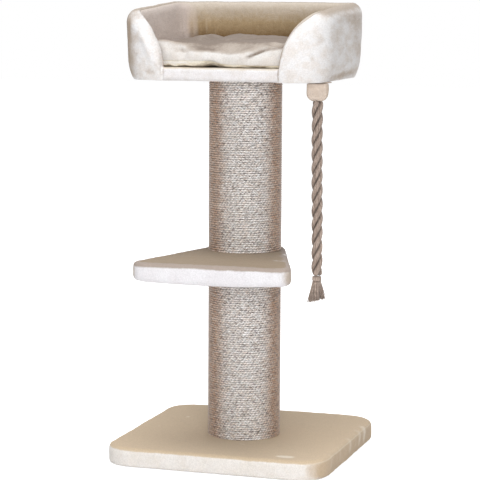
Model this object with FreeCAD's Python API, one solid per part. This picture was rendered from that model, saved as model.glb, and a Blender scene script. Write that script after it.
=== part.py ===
import FreeCAD, Part
import math
import os

# Cat scratching post: a plush covered base board, two rope-wound posts with a
# plush covered step between them, and a padded open-fronted bed on top with a
# loose cushion and a short thick toy rope hanging from its underside.
# Millimetres, +Z up. The origin is the centre of the base, on the floor.
# +X runs to the right along the front edge and +Y to the back.

V = FreeCAD.Vector

# General values
UP = V(0, 0, 1)
SOFT_GAP = 0.3          # running gap round soft and curved pieces
OVERRUN = 20.0          # how far every cutting tool passes what it cuts
LEVEL_TOLERANCE = 0.001
HALF = 0.5

# Plush and boards
PLUSH = 5.0             # plush with its thin foam, on a board's top and sides
PLUSH_UNDER = 3.0       # plush pressed flat under the base
BOARD_BASE = 44.0       # base board, two glued layers of chipboard
BOARD_SHELF = 38.0
BOARD_BED = 25.0

# Base
BASE_WIDTH = 616.0
BASE_DEPTH = 610.0
BASE_CORNER = 82.0
BASE_SIDE_PLUSH = 7.0
BASE_EDGE_ROUND = 13.0
BASE_FOOT_ROUND = 4.0

# Posts, centred a little in front of the base's middle
POST_X = 7.0
POST_Y = -21.0
POST_RADIUS = 100.0
POST_LENGTH = 466.0
ROPE_THICKNESS = 6.0    # the sisal rope that is wound on the posts
TUBE_WALL_THICKNESS = 9.0
DISC_THICKNESS = 22.0   # plywood plug in each end of a tube
DISC_FIT = 0.2
WINDING_FIT = 0.2
WINDING_BEVEL = 2.5     # the first and the last turn's outer edge

# Step between the posts: a tapered board, wide at the front
SHELF_REACH = 356.0     # from the post's axis to the front edge
SHELF_BACK = 118.0      # from the post's axis to the back edge
SHELF_FRONT_HALF = 225.0
SHELF_AXIS_HALF = 118.0
SHELF_FRONT_CORNER = 39.0
SHELF_BACK_CORNER = 70.0
SHELF_TURN = 1.9        # degrees about the post, as the step is screwed on
SHELF_EDGE_ROUND = 15.0

# Bed: its board lies inside a padded wall that goes round three sides
BED_WIDTH = 570.0
BED_DEPTH = 490.0
BED_CORNER = 105.0
OUTER_PAD_THICKNESS = 18.7  # padding outside the wall's core
INNER_PAD_THICKNESS = 20.0
CORE_THICKNESS = 6.0    # bent hardboard strip
BOARD_FIT = 1.0         # room that the board's corners leave the strip, which bends in short flats
RIM_BACK_HEIGHT = 170.0  # height of the rim above the bed's floor
RIM_FRONT_HEIGHT = 150.0
RIM_PAD_THICKNESS = 18.0  # padding over the core's top edge
RIM_OUTSIDE_RADIUS = 40.0
RIM_INSIDE_RADIUS = 26.0
RIM_CREST_OFFSET = 3.0  # how far outside the core's inner face the rim is highest
WALL_FOOT_RADIUS = 50.0
ROUND_LIMIT_SHARE = 0.42
CORE_FOOT_HEIGHT = 8.0  # how far the core's lower edge is above the wall's foot
FRONT_LEAD_LENGTH = 20.0  # straight stretch of wall in front of each front corner
FRONT_FIRST_ANGLE = 12.0
FRONT_ANGLE_STEP = 10.0
FRONT_ANGLES = 9
CORNER_STEPS = 6
BED_EDGE_ROUND = 6.0

# Cushion
CUSHION_THICKNESS = 80.0
CUSHION_CLEARANCE = 3.0
CUSHION_DRAW_DEPTH = 7.0  # how far each side is drawn in between its corners
CUSHION_CORNER = 66.0
CUSHION_CROWN_SETBACK = 15.0  # how far behind its middle the cushion is highest
CUSHION_LEVEL_SHARES = (0.0, 0.10, 0.30, 0.52, 0.72, 0.88, 1.0)
CUSHION_INSET_SHARES = (0.07, 0.02, 0.0, 0.03, 0.12, 0.28, 0.50)

# Fasteners
BOLT_RADIUS = 5.0
BOLT_LENGTH = 70.0
BOLT_HEAD_WIDTH = 17.0
BOLT_HEAD_HEIGHT = 6.4
BOLT_HEAD_BEVEL = 1.2
HEXAGON_SIDES = 6
BOLT_CLEARANCE = 1.0
WASHER_RADIUS = 15.0
WASHER_THICKNESS = 2.5
RECESS_RADIUS = 18.0
BASE_RECESS_DEPTH = 14.0
BED_RECESS_DEPTH = 10.0
STUD_LENGTH = 110.0
NUT_FLANGE_RADIUS = 13.0
NUT_FLANGE_THICKNESS = 1.6
NUT_BARREL_RADIUS = 6.0
NUT_BARREL_LENGTH = 13.0
THREAD_FIT = 0.1
SCREW_RADIUS = 2.0
SCREW_LENGTH = 40.0
SCREW_HEAD_RADIUS = 4.0
SCREW_HEAD_HEIGHT = 2.5
SCREW_FIT = 0.15
BACK_SCREW_SPACING = 150.0
SIDE_SCREW_SPACING = 180.0

# Toy rope: a short thick rope in a plush strap under the bed's right side
TOY_X = 238.0           # from the post's axis
TOY_Y = -129.0
STRAP_WIDTH = 58.0
STRAP_THICKNESS = 26.0
STRAP_LENGTH = 43.7
STRAP_CORNER = 15.0
STRAP_LOWER_ROUND = 7.0
TAIL_THICKNESS = 3.0    # the strap's flat end, screwed under the bed
TAIL_LENGTH = 36.0
TAIL_LEAD_LENGTH = 3.0
TAIL_SCREW_SPACING = 24.0
TAIL_SCREW_LENGTH = 20.0
TOY_ROPE_RADIUS = 15.0
TOY_UPPER_RUN = 150.0
TOY_MIDDLE_RUN = 160.0
TOY_LOWER_RUN = 139.7
TOY_SWAY_OFFSET = 3.0   # how far the rope's lower half hangs to the right
RUN_SHARE = 0.45        # share of the shorter run that an arc takes up
BINDING_RADIUS = 12.5
BINDING_HEIGHT = 13.0
BINDING_BEVEL = 2.0
TASSEL_LENGTH = 52.0
TASSEL_NECK_RADIUS = 11.5
TASSEL_END_RADIUS = 26.5
TASSEL_DEPTH_SHARES = (0.0, 0.16, 0.40, 0.68, 0.90, 1.0)
TASSEL_SPREAD_SHARES = (0.0, 0.34, 0.64, 0.88, 1.0, 0.74)

# Heights that follow from the sizes above
BASE_TOP = PLUSH_UNDER + BOARD_BASE + PLUSH
SHELF_BOTTOM = BASE_TOP + POST_LENGTH
SHELF_THICKNESS = PLUSH + BOARD_SHELF + PLUSH
SHELF_TOP = SHELF_BOTTOM + SHELF_THICKNESS
BED_BOTTOM = SHELF_TOP + POST_LENGTH
BED_FLOOR = BED_BOTTOM + PLUSH + BOARD_BED + PLUSH
TUBE_RADIUS = POST_RADIUS - ROPE_THICKNESS
TUBE_BORE = TUBE_RADIUS - TUBE_WALL_THICKNESS

# Plan of the bed that follows from the sizes above: the board's cover ends
# where the core of the wall begins
WALL_OUTSIDE = SOFT_GAP + CORE_THICKNESS + OUTER_PAD_THICKNESS
FLOOR_HALF_WIDTH = BED_WIDTH / 2 - WALL_OUTSIDE
FLOOR_HALF_DEPTH = BED_DEPTH / 2 - WALL_OUTSIDE
FLOOR_CORNER = BED_CORNER - WALL_OUTSIDE


def rounded_polygon(corners, radii, z):
    """Closed wire through the corners, each one rounded with its own radius."""
    count = len(corners)
    starts = []
    ends = []
    middles = []
    for i in range(count):
        here = V(corners[i][0], corners[i][1], z)
        back = V(corners[i - 1][0], corners[i - 1][1], z) - here
        ahead = V(corners[(i + 1) % count][0], corners[(i + 1) % count][1], z) - here
        back.normalize()
        ahead.normalize()
        half_angle = back.getAngle(ahead) / 2
        reach = radii[i] / math.tan(half_angle)
        bisector = back + ahead
        bisector.normalize()
        starts.append(here + back * reach)
        ends.append(here + ahead * reach)
        middles.append(here + bisector * (radii[i] / math.sin(half_angle) - radii[i]))
    edges = []
    for i in range(count):
        edges.append(Part.Arc(starts[i], middles[i], ends[i]).toShape())
        edges.append(Part.LineSegment(ends[i], starts[(i + 1) % count]).toShape())
    return Part.Wire(edges)


def rounded_rectangle(half_width, half_depth, corner, x, y, z):
    """Closed wire of a rectangle with round corners about a centre."""
    corners = [(x - half_width, y - half_depth), (x + half_width, y - half_depth),
               (x + half_width, y + half_depth), (x - half_width, y + half_depth)]
    return rounded_polygon(corners, [corner] * len(corners), z)


def prism(wire, height):
    """Solid that stands on a flat wire."""
    return Part.Face(wire).extrude(UP * height)


def edges_at(shape, z):
    """Edges of a shape that lie flat at one height."""
    flat = []
    for edge in shape.Edges:
        box = edge.BoundBox
        if abs(box.ZMin - z) < LEVEL_TOLERANCE and abs(box.ZMax - z) < LEVEL_TOLERANCE:
            flat.append(edge)
    return flat


def soft_edged_prism(wire, z, height, top_round, bottom_round):
    """Prism whose top and bottom edges are rounded, as plush over foam is."""
    body = prism(wire, height)
    body = body.makeFillet(top_round, edges_at(body, z + height))
    return body.makeFillet(bottom_round, edges_at(body, z))


def rod(radius, z, height, x=POST_X, y=POST_Y):
    """Upright round bar; on the post's axis unless a place is given."""
    return Part.makeCylinder(radius, height, V(x, y, z), UP)


def bolt_hole(z, height):
    """Tool for the clearance hole of the bolts and the stud."""
    return rod(BOLT_RADIUS + BOLT_CLEARANCE, z - OVERRUN, height + 2 * OVERRUN)


# Base

def base_outline(inset, z):
    """Plan of the base, drawn in by an inset."""
    return rounded_rectangle(BASE_WIDTH / 2 - inset, BASE_DEPTH / 2 - inset,
                             BASE_CORNER - inset, 0, 0, z)


def make_base_board():
    """Chipboard with the bolt's hole and the recess for its head."""
    board = prism(base_outline(BASE_SIDE_PLUSH + SOFT_GAP, PLUSH_UNDER), BOARD_BASE)
    recess = rod(RECESS_RADIUS, PLUSH_UNDER - OVERRUN, BASE_RECESS_DEPTH + OVERRUN)
    return board.cut(bolt_hole(PLUSH_UNDER, BOARD_BASE)).cut(recess)


def make_base_cover():
    """Plush all round the base board, open below where the bolt goes in."""
    skin = soft_edged_prism(base_outline(0, 0), 0, BASE_TOP, BASE_EDGE_ROUND, BASE_FOOT_ROUND)
    inside = prism(base_outline(BASE_SIDE_PLUSH, PLUSH_UNDER), BOARD_BASE)
    entry = rod(RECESS_RADIUS, -OVERRUN, PLUSH_UNDER + OVERRUN)
    return skin.cut(inside).cut(bolt_hole(0, BASE_TOP)).cut(entry)


# Posts

def make_tube(z):
    """Cardboard tube of one post."""
    return rod(TUBE_RADIUS, z, POST_LENGTH).cut(rod(TUBE_BORE, z, POST_LENGTH))


def make_winding(z):
    """Sisal rope, wound turn on turn over the whole tube, as one sleeve."""
    sleeve = rod(POST_RADIUS, z, POST_LENGTH)
    outer_edges = edges_at(sleeve, z) + edges_at(sleeve, z + POST_LENGTH)
    sleeve = sleeve.makeChamfer(WINDING_BEVEL, outer_edges)
    return sleeve.cut(rod(TUBE_RADIUS + WINDING_FIT, z, POST_LENGTH))


def make_disc(z, nut_below):
    """Plug in a tube's end with the hole for its nut's barrel."""
    disc = rod(TUBE_BORE - DISC_FIT, z, DISC_THICKNESS)
    barrel_z = z if nut_below else z + DISC_THICKNESS - NUT_BARREL_LENGTH
    barrel = rod(NUT_BARREL_RADIUS + DISC_FIT, barrel_z, NUT_BARREL_LENGTH)
    return disc.cut(bolt_hole(z, DISC_THICKNESS)).cut(barrel)


def make_tee_nut(z, nut_below):
    """Flanged nut on the disc's inner face, its barrel let into the disc."""
    flange_z = z - NUT_FLANGE_THICKNESS if nut_below else z + DISC_THICKNESS
    barrel_z = z if nut_below else z + DISC_THICKNESS - NUT_BARREL_LENGTH
    nut = rod(NUT_FLANGE_RADIUS, flange_z, NUT_FLANGE_THICKNESS)
    nut = nut.fuse(rod(NUT_BARREL_RADIUS, barrel_z, NUT_BARREL_LENGTH))
    bore = rod(BOLT_RADIUS + THREAD_FIT, z - OVERRUN, DISC_THICKNESS + 2 * OVERRUN)
    return nut.removeSplitter().cut(bore)


# The foot disc of a post holds its nut on top and the head disc below
FOOT_DISC_LEVELS = (BASE_TOP, SHELF_TOP)
HEAD_DISC_LEVELS = (SHELF_BOTTOM - DISC_THICKNESS, BED_BOTTOM - DISC_THICKNESS)


def make_tee_nuts():
    """The four flanged nuts, two in each post."""
    nuts = [make_tee_nut(z, False) for z in FOOT_DISC_LEVELS]
    nuts += [make_tee_nut(z, True) for z in HEAD_DISC_LEVELS]
    return Part.makeCompound(nuts)


# Fasteners on the post's axis

def hexagon_corner(width):
    """Radius of a hexagon's corners, by its width over flats."""
    return width / 2 / math.cos(math.pi / HEXAGON_SIDES)


def hexagon(width, z, height):
    """Upright hexagonal bar on the post's axis, by its width over flats."""
    corner = hexagon_corner(width)
    points = []
    for i in range(HEXAGON_SIDES):
        angle = math.tau * i / HEXAGON_SIDES
        points.append(V(POST_X + corner * math.cos(angle), POST_Y + corner * math.sin(angle), z))
    return prism(Part.makePolygon(points + points[:1]), height)


def make_bolt(seat_z, pointing_up):
    """Hexagon head bolt whose head bears on the washer at seat_z."""
    head_z = seat_z - BOLT_HEAD_HEIGHT if pointing_up else seat_z
    head = hexagon(BOLT_HEAD_WIDTH, head_z, BOLT_HEAD_HEIGHT)
    turned = rod(hexagon_corner(BOLT_HEAD_WIDTH), head_z, BOLT_HEAD_HEIGHT)
    outer_z = head_z if pointing_up else head_z + BOLT_HEAD_HEIGHT
    turned = turned.makeChamfer(BOLT_HEAD_BEVEL, edges_at(turned, outer_z))
    shank_z = seat_z if pointing_up else seat_z - BOLT_LENGTH
    shank = rod(BOLT_RADIUS, shank_z, BOLT_LENGTH)
    return head.common(turned).fuse(shank).removeSplitter()


def make_washer(z):
    """Wide flat washer."""
    hole = rod(BOLT_RADIUS + SCREW_FIT, z, WASHER_THICKNESS)
    return rod(WASHER_RADIUS, z, WASHER_THICKNESS).cut(hole)


BASE_WASHER_Z = PLUSH_UNDER + BASE_RECESS_DEPTH - WASHER_THICKNESS
BED_WASHER_Z = BED_FLOOR - PLUSH - BED_RECESS_DEPTH


def make_shelf_stud():
    """Threaded rod through the step, into the posts above and below it."""
    middle = (SHELF_BOTTOM + SHELF_TOP) / 2
    return rod(BOLT_RADIUS, middle - STUD_LENGTH / 2, STUD_LENGTH)


# Step

def shelf_outline(inset, z):
    """Plan of the step, drawn in by an inset, about the post's axis."""
    taper = (SHELF_FRONT_HALF - SHELF_AXIS_HALF) / SHELF_REACH
    side_inset = inset * math.sqrt(1 + taper * taper)
    front = SHELF_REACH - inset
    back = SHELF_BACK - inset
    front_half = SHELF_AXIS_HALF + taper * front - side_inset
    back_half = SHELF_AXIS_HALF - taper * back - side_inset
    corners = [(-front_half, -front), (front_half, -front), (back_half, back), (-back_half, back)]
    front_round = SHELF_FRONT_CORNER - inset
    back_round = SHELF_BACK_CORNER - inset
    wire = rounded_polygon(corners, [front_round, front_round, back_round, back_round], z)
    wire.rotate(V(0, 0, 0), UP, SHELF_TURN)
    wire.translate(V(POST_X, POST_Y, 0))
    return wire


def make_shelf_board():
    """Tapered board with the stud's hole."""
    board = prism(shelf_outline(PLUSH + SOFT_GAP, SHELF_BOTTOM + PLUSH), BOARD_SHELF)
    return board.cut(bolt_hole(SHELF_BOTTOM, SHELF_THICKNESS))


def make_shelf_cover():
    """Plush all round the step's board."""
    skin = soft_edged_prism(shelf_outline(0, SHELF_BOTTOM), SHELF_BOTTOM, SHELF_THICKNESS,
                            SHELF_EDGE_ROUND, SHELF_EDGE_ROUND)
    inside = prism(shelf_outline(PLUSH, SHELF_BOTTOM + PLUSH), BOARD_SHELF)
    return skin.cut(inside).cut(bolt_hole(SHELF_BOTTOM, SHELF_THICKNESS))


# Bed: places round the wall

def wall_stations():
    """Places round the wall, from its right front end by the back to the left.

    Each is a point on the floor's edge, the outward normal there and the
    rim's height above the floor. At the front the rim falls in a quarter of
    an ellipse, laid round the corner, to the floor's front edge.
    """
    straight_x = FLOOR_HALF_WIDTH - FLOOR_CORNER
    straight_y = FLOOR_HALF_DEPTH - FLOOR_CORNER
    fall = FRONT_LEAD_LENGTH + BED_CORNER * math.pi / 2
    right = []
    for i in range(FRONT_ANGLES):
        degrees = FRONT_FIRST_ANGLE if i == 0 else FRONT_ANGLE_STEP * (i + 1)
        angle = math.radians(degrees)
        run = fall * (1 - math.cos(angle)) - FRONT_LEAD_LENGTH
        turn = max(run, 0) / BED_CORNER
        across = straight_x + min(run, 0) + FLOOR_CORNER * math.sin(turn)
        along = -straight_y - FLOOR_CORNER * math.cos(turn)
        normal = V(math.sin(turn), -math.cos(turn), 0)
        right.append((V(across, along, 0), normal, RIM_FRONT_HEIGHT * math.sin(angle)))
    for i in range(CORNER_STEPS + 1):
        turn = math.pi / 2 * i / CORNER_STEPS
        normal = V(math.cos(turn), math.sin(turn), 0)
        right.append((V(straight_x, straight_y, 0) + normal * FLOOR_CORNER, normal, RIM_BACK_HEIGHT))
    left = []
    for point, normal, height in reversed(right):
        left.append((V(-point.x, point.y, 0), V(-normal.x, normal.y, 0), height))
    centre = V(POST_X, POST_Y, 0)
    return [(point + centre, normal, height) for point, normal, height in right + left]


def place_in_section(station, out, z):
    """Point of a wall section, so far outward of the floor's edge, at a height."""
    point, normal, _ = station
    return point + normal * out + UP * z


def quarter_round(station, centre, reach, rise, from_side):
    """Arc that stands for a quarter of an ellipse in a wall section."""
    side = place_in_section(station, centre[0] + reach, centre[1])
    top = place_in_section(station, centre[0], centre[1] + rise)
    slant = math.sqrt(HALF)
    middle = place_in_section(station, centre[0] + reach * slant, centre[1] + rise * slant)
    if from_side:
        return Part.Arc(side, middle, top).toShape()
    return Part.Arc(top, middle, side).toShape()


def wall_section(station):
    """Section of the padded wall, with the slot that its core stands in."""
    top = BED_FLOOR + station[2]
    limit = ROUND_LIMIT_SHARE * (top - BED_BOTTOM)
    foot_round = min(WALL_FOOT_RADIUS, limit)
    outer_round = min(RIM_OUTSIDE_RADIUS, limit)
    outer = WALL_OUTSIDE
    inner = -INNER_PAD_THICKNESS
    slot_outer = 2 * SOFT_GAP + CORE_THICKNESS
    slot_top = top - RIM_PAD_THICKNESS + SOFT_GAP
    slot_foot = BED_BOTTOM + CORE_FOOT_HEIGHT - SOFT_GAP
    foot_side = BED_BOTTOM + foot_round
    edges = [quarter_round(station, (SOFT_GAP, foot_side), outer - SOFT_GAP, -foot_round, False),
             None,
             quarter_round(station, (RIM_CREST_OFFSET, top - outer_round), outer - RIM_CREST_OFFSET,
                           outer_round, True),
             quarter_round(station, (RIM_CREST_OFFSET, top - RIM_INSIDE_RADIUS),
                           inner - RIM_CREST_OFFSET, RIM_INSIDE_RADIUS, False)]
    edges[1] = Part.LineSegment(place_in_section(station, outer, foot_side),
                                place_in_section(station, outer, top - outer_round)).toShape()
    corners = [(inner, top - RIM_INSIDE_RADIUS), (inner, BED_FLOOR), (0, BED_FLOOR),
               (0, slot_top), (slot_outer, slot_top), (slot_outer, slot_foot),
               (SOFT_GAP, slot_foot), (SOFT_GAP, BED_BOTTOM)]
    points = [place_in_section(station, out, z) for out, z in corners]
    for start, end in zip(points, points[1:]):
        edges.append(Part.LineSegment(start, end).toShape())
    return Part.Wire(edges)


def core_section(station):
    """Section of the hardboard strip inside the wall."""
    foot = BED_BOTTOM + CORE_FOOT_HEIGHT
    top = BED_FLOOR + station[2] - RIM_PAD_THICKNESS
    outer = SOFT_GAP + CORE_THICKNESS
    corners = [(SOFT_GAP, foot), (outer, foot), (outer, top), (SOFT_GAP, top)]
    points = [place_in_section(station, out, z) for out, z in corners]
    return Part.makePolygon(points + points[:1])


def wall_screw_places():
    """Point on the floor's edge and outward normal of each screw in the wall."""
    places = []
    for i in (-1, 0, 1):
        places.append((V(i * BACK_SCREW_SPACING, FLOOR_HALF_DEPTH, 0), V(0, 1, 0)))
    for side in (-1, 1):
        for i in (-HALF, HALF):
            point = V(side * FLOOR_HALF_WIDTH, i * SIDE_SCREW_SPACING, 0)
            places.append((point, V(side, 0, 0)))
        front_x = FLOOR_HALF_WIDTH - FLOOR_CORNER - FRONT_LEAD_LENGTH / 2
        places.append((V(side * front_x, -FLOOR_HALF_DEPTH, 0), V(0, -1, 0)))
    middle = (BED_BOTTOM + BED_FLOOR) / 2
    centre = V(POST_X, POST_Y, middle)
    return [(point + centre, normal) for point, normal in places]


def countersunk_screw(tip_to_head, point, normal, fit):
    """Wood screw whose flat head ends at a point and looks along a normal."""
    shank = Part.makeCylinder(SCREW_RADIUS + fit, tip_to_head, point - normal * tip_to_head, normal)
    head = Part.makeCone(SCREW_RADIUS + fit, SCREW_HEAD_RADIUS + fit, SCREW_HEAD_HEIGHT,
                         point - normal * SCREW_HEAD_HEIGHT, normal)
    return shank.fuse(head).removeSplitter()


def wall_screws(fit):
    """The screws that hold the wall's core to the board, as a list."""
    screws = []
    for point, normal in wall_screw_places():
        head = point + normal * (SOFT_GAP + CORE_THICKNESS)
        screws.append(countersunk_screw(SCREW_LENGTH + fit, head, normal, fit))
    return screws


def tail_screws(fit):
    """The screws that hold the strap's tail under the bed, heads downwards."""
    screws = []
    for side in (-1, 1):
        point = V(POST_X + TOY_X + side * TAIL_SCREW_SPACING / 2,
                  POST_Y + TOY_Y + TAIL_LENGTH / 2, BED_BOTTOM - TAIL_THICKNESS)
        screws.append(countersunk_screw(TAIL_SCREW_LENGTH + fit, point, -UP, fit))
    return screws


def floor_outline(inset, z):
    """Plan of the bed's floor, drawn in by an inset."""
    return rounded_rectangle(FLOOR_HALF_WIDTH - inset, FLOOR_HALF_DEPTH - inset,
                             FLOOR_CORNER - inset, POST_X, POST_Y, z)


def make_bed_board():
    """Board under the bed with the bolt's recess and the screws' holes."""
    board_z = BED_BOTTOM + PLUSH
    board = prism(floor_outline(BOARD_FIT + PLUSH + SOFT_GAP, board_z), BOARD_BED)
    recess = rod(RECESS_RADIUS, BED_FLOOR - PLUSH - BED_RECESS_DEPTH, BED_RECESS_DEPTH + OVERRUN)
    board = board.cut(bolt_hole(board_z, BOARD_BED)).cut(recess)
    return board.cut(wall_screws(SCREW_FIT) + tail_screws(SCREW_FIT))


def make_bed_board_cover():
    """Plush all round the bed's board, open above the bolt."""
    skin = soft_edged_prism(floor_outline(BOARD_FIT, BED_BOTTOM), BED_BOTTOM,
                            BED_FLOOR - BED_BOTTOM, BED_EDGE_ROUND, BED_EDGE_ROUND)
    inside = prism(floor_outline(BOARD_FIT + PLUSH, BED_BOTTOM + PLUSH), BOARD_BED)
    entry = rod(RECESS_RADIUS, BED_FLOOR - PLUSH, PLUSH + OVERRUN)
    skin = skin.cut(inside).cut(bolt_hole(BED_BOTTOM, BOARD_BED)).cut(entry)
    return skin.cut(wall_screws(SCREW_FIT) + tail_screws(SCREW_FIT))


def make_wall_core():
    """Bent hardboard strip that carries the wall, screwed to the board's edge."""
    strip = Part.makeLoft([core_section(station) for station in wall_stations()], True, True)
    return strip.cut(wall_screws(SCREW_FIT))


def make_wall_cover():
    """Foam and plush over the strip, closed at both front ends."""
    return Part.makeLoft([wall_section(station) for station in wall_stations()], True, True)


# Cushion

def pillow_outline(half_width, half_depth, corner, centre_y, z):
    """Plan of a cushion whose sides are drawn in between round corners."""
    edges = []
    for quarter in range(4):
        wide = half_width if quarter % 2 == 0 else half_depth
        deep = half_depth if quarter % 2 == 0 else half_width
        turn = math.pi / 2 * quarter

        def spot(across, along):
            x = across * math.cos(turn) - along * math.sin(turn)
            y = across * math.sin(turn) + along * math.cos(turn)
            return V(POST_X + x, centre_y + y, z)

        side_end = spot(wide - corner, -deep)
        side = Part.Arc(spot(corner - wide, -deep), spot(0, CUSHION_DRAW_DEPTH - deep), side_end)
        slant = corner * (1 - math.sqrt(HALF))
        round_end = spot(wide, corner - deep)
        rounding = Part.Arc(side_end, spot(wide - slant, slant - deep), round_end)
        edges += [side.toShape(), rounding.toShape()]
    return Part.Wire(edges)


def make_cushion():
    """Loose cushion: crowned a little behind its middle, soft-edged all round."""
    half_width = FLOOR_HALF_WIDTH - INNER_PAD_THICKNESS - CUSHION_CLEARANCE
    half_depth = FLOOR_HALF_DEPTH - INNER_PAD_THICKNESS - CUSHION_CLEARANCE
    sections = []
    for level, inset in zip(CUSHION_LEVEL_SHARES, CUSHION_INSET_SHARES):
        drawn = inset * half_depth
        z = BED_FLOOR + SOFT_GAP + level * CUSHION_THICKNESS
        centre_y = POST_Y + level * level * CUSHION_CROWN_SETBACK
        sections.append(pillow_outline(half_width - drawn, half_depth - drawn,
                                       CUSHION_CORNER, centre_y, z))
    return Part.makeLoft(sections, True, True)


# Toy rope

STRAP_TOP = BED_BOTTOM - TAIL_THICKNESS - SOFT_GAP
STRAP_PIVOT = STRAP_TOP - STRAP_THICKNESS / 2
STRAP_BOTTOM = STRAP_TOP - STRAP_LENGTH
TOY_PIVOT = STRAP_BOTTOM - SOFT_GAP - TOY_ROPE_RADIUS
TOY_CENTRE_X = POST_X + TOY_X
TOY_CENTRE_Y = POST_Y + TOY_Y
TOY_LENGTH = TOY_UPPER_RUN + TOY_MIDDLE_RUN + TOY_LOWER_RUN
BINDING_TOP = TOY_PIVOT - TOY_LENGTH
TASSEL_TOP = BINDING_TOP - BINDING_HEIGHT


def make_strap_tail():
    """Flat end of the strap, screwed to the bed's underside."""
    tail = Part.makeBox(STRAP_WIDTH, TAIL_LEAD_LENGTH + TAIL_LENGTH, TAIL_THICKNESS,
                        V(TOY_CENTRE_X - STRAP_WIDTH / 2, TOY_CENTRE_Y - TAIL_LEAD_LENGTH,
                          BED_BOTTOM - TAIL_THICKNESS))
    upright = [edge for edge in tail.Edges if edge.BoundBox.ZLength > TAIL_THICKNESS / 2]
    tail = tail.makeFillet(TAIL_LEAD_LENGTH - SOFT_GAP, upright)
    return tail.cut(tail_screws(SCREW_FIT))


def make_strap():
    """Plush strap that holds the rope: round where it folds, round at its foot."""
    low = STRAP_BOTTOM
    half = STRAP_WIDTH / 2
    front = rounded_polygon([(-half, low), (half, low), (half, STRAP_TOP + OVERRUN),
                             (-half, STRAP_TOP + OVERRUN)],
                            [STRAP_CORNER, STRAP_CORNER, SOFT_GAP, SOFT_GAP], 0)
    front.rotate(V(0, 0, 0), V(1, 0, 0), 90)
    front.translate(V(TOY_CENTRE_X, TOY_CENTRE_Y + STRAP_THICKNESS, 0))
    slab = Part.Face(front).extrude(V(0, -2 * STRAP_THICKNESS, 0))
    thick = STRAP_THICKNESS / 2
    fold = Part.makeCylinder(thick, STRAP_WIDTH, V(TOY_CENTRE_X - half, TOY_CENTRE_Y, STRAP_PIVOT),
                             V(1, 0, 0))
    body = Part.makeBox(STRAP_WIDTH, STRAP_THICKNESS, STRAP_PIVOT - low,
                        V(TOY_CENTRE_X - half, TOY_CENTRE_Y - thick, low))
    lower_edges = [edge for edge in edges_at(body, low) if edge.BoundBox.XLength > thick]
    body = body.makeFillet(STRAP_LOWER_ROUND, lower_edges)
    return slab.common(body.fuse(fold).removeSplitter())


def toy_rope_route():
    """Points that the rope follows from its top down, nearly plumb."""
    x = TOY_CENTRE_X
    y = TOY_CENTRE_Y
    first = TOY_PIVOT - TOY_UPPER_RUN
    second = first - TOY_MIDDLE_RUN
    return [V(x, y, TOY_PIVOT), V(x, y, first), V(x + TOY_SWAY_OFFSET, y, second),
            V(x + TOY_SWAY_OFFSET, y, BINDING_TOP)]


def tube_along(points, radius):
    """Round bar along straight runs that are joined by tangent arcs."""
    edges = []
    start = points[0]
    for i in range(1, len(points) - 1):
        back = points[i - 1] - points[i]
        ahead = points[i + 1] - points[i]
        reach = RUN_SHARE * min(back.Length, ahead.Length)
        back.normalize()
        ahead.normalize()
        half_turn = (math.pi - back.getAngle(ahead)) / 2
        bend = reach / math.tan(half_turn)
        bisector = back + ahead
        bisector.normalize()
        middle = points[i] + bisector * (bend / math.cos(half_turn) - bend)
        edges.append(Part.LineSegment(start, points[i] + back * reach).toShape())
        edges.append(Part.Arc(points[i] + back * reach, middle,
                              points[i] + ahead * reach).toShape())
        start = points[i] + ahead * reach
        print("toy rope bend radius", round(bend, 1), "mm")
    edges.append(Part.LineSegment(start, points[-1]).toShape())
    path = Part.Wire(edges)
    heading = points[1] - points[0]
    ring = Part.Wire(Part.makeCircle(radius, points[0], heading))
    tube = path.makePipeShell([ring], True, False)
    filled = tube.Volume / (math.pi * radius * radius * path.Length)
    print("toy rope length", round(path.Length, 1), "mm, volume against section", round(filled, 4))
    return tube


def make_toy_rope():
    """Thick rope; its top is round across, where it swings under the strap."""
    roller = Part.makeCylinder(TOY_ROPE_RADIUS, 2 * TOY_ROPE_RADIUS,
                               V(TOY_CENTRE_X, TOY_CENTRE_Y - TOY_ROPE_RADIUS, TOY_PIVOT), V(0, 1, 0))
    crown = roller.common(rod(TOY_ROPE_RADIUS, TOY_PIVOT, TOY_ROPE_RADIUS, TOY_CENTRE_X, TOY_CENTRE_Y))
    rope = tube_along(toy_rope_route(), TOY_ROPE_RADIUS)
    return rope.fuse(crown).removeSplitter()


def make_binding():
    """Twine bound round the rope's end."""
    collar = rod(BINDING_RADIUS, TASSEL_TOP, BINDING_HEIGHT,
                 TOY_CENTRE_X + TOY_SWAY_OFFSET, TOY_CENTRE_Y)
    rims = edges_at(collar, TASSEL_TOP) + edges_at(collar, TASSEL_TOP + BINDING_HEIGHT)
    return collar.makeChamfer(BINDING_BEVEL, rims)


def make_tassel():
    """Frayed end of the rope, spread like a brush."""
    x = TOY_CENTRE_X + TOY_SWAY_OFFSET
    top = V(x, TOY_CENTRE_Y, TASSEL_TOP)
    points = [top]
    for depth, spread in zip(TASSEL_DEPTH_SHARES, TASSEL_SPREAD_SHARES):
        reach = TASSEL_NECK_RADIUS + spread * (TASSEL_END_RADIUS - TASSEL_NECK_RADIUS)
        points.append(V(x + reach, TOY_CENTRE_Y, TASSEL_TOP - depth * TASSEL_LENGTH))
    points.append(V(x, TOY_CENTRE_Y, TASSEL_TOP - TASSEL_LENGTH))
    return Part.Face(Part.makePolygon(points + [top])).revolve(top, UP, 360)


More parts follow.
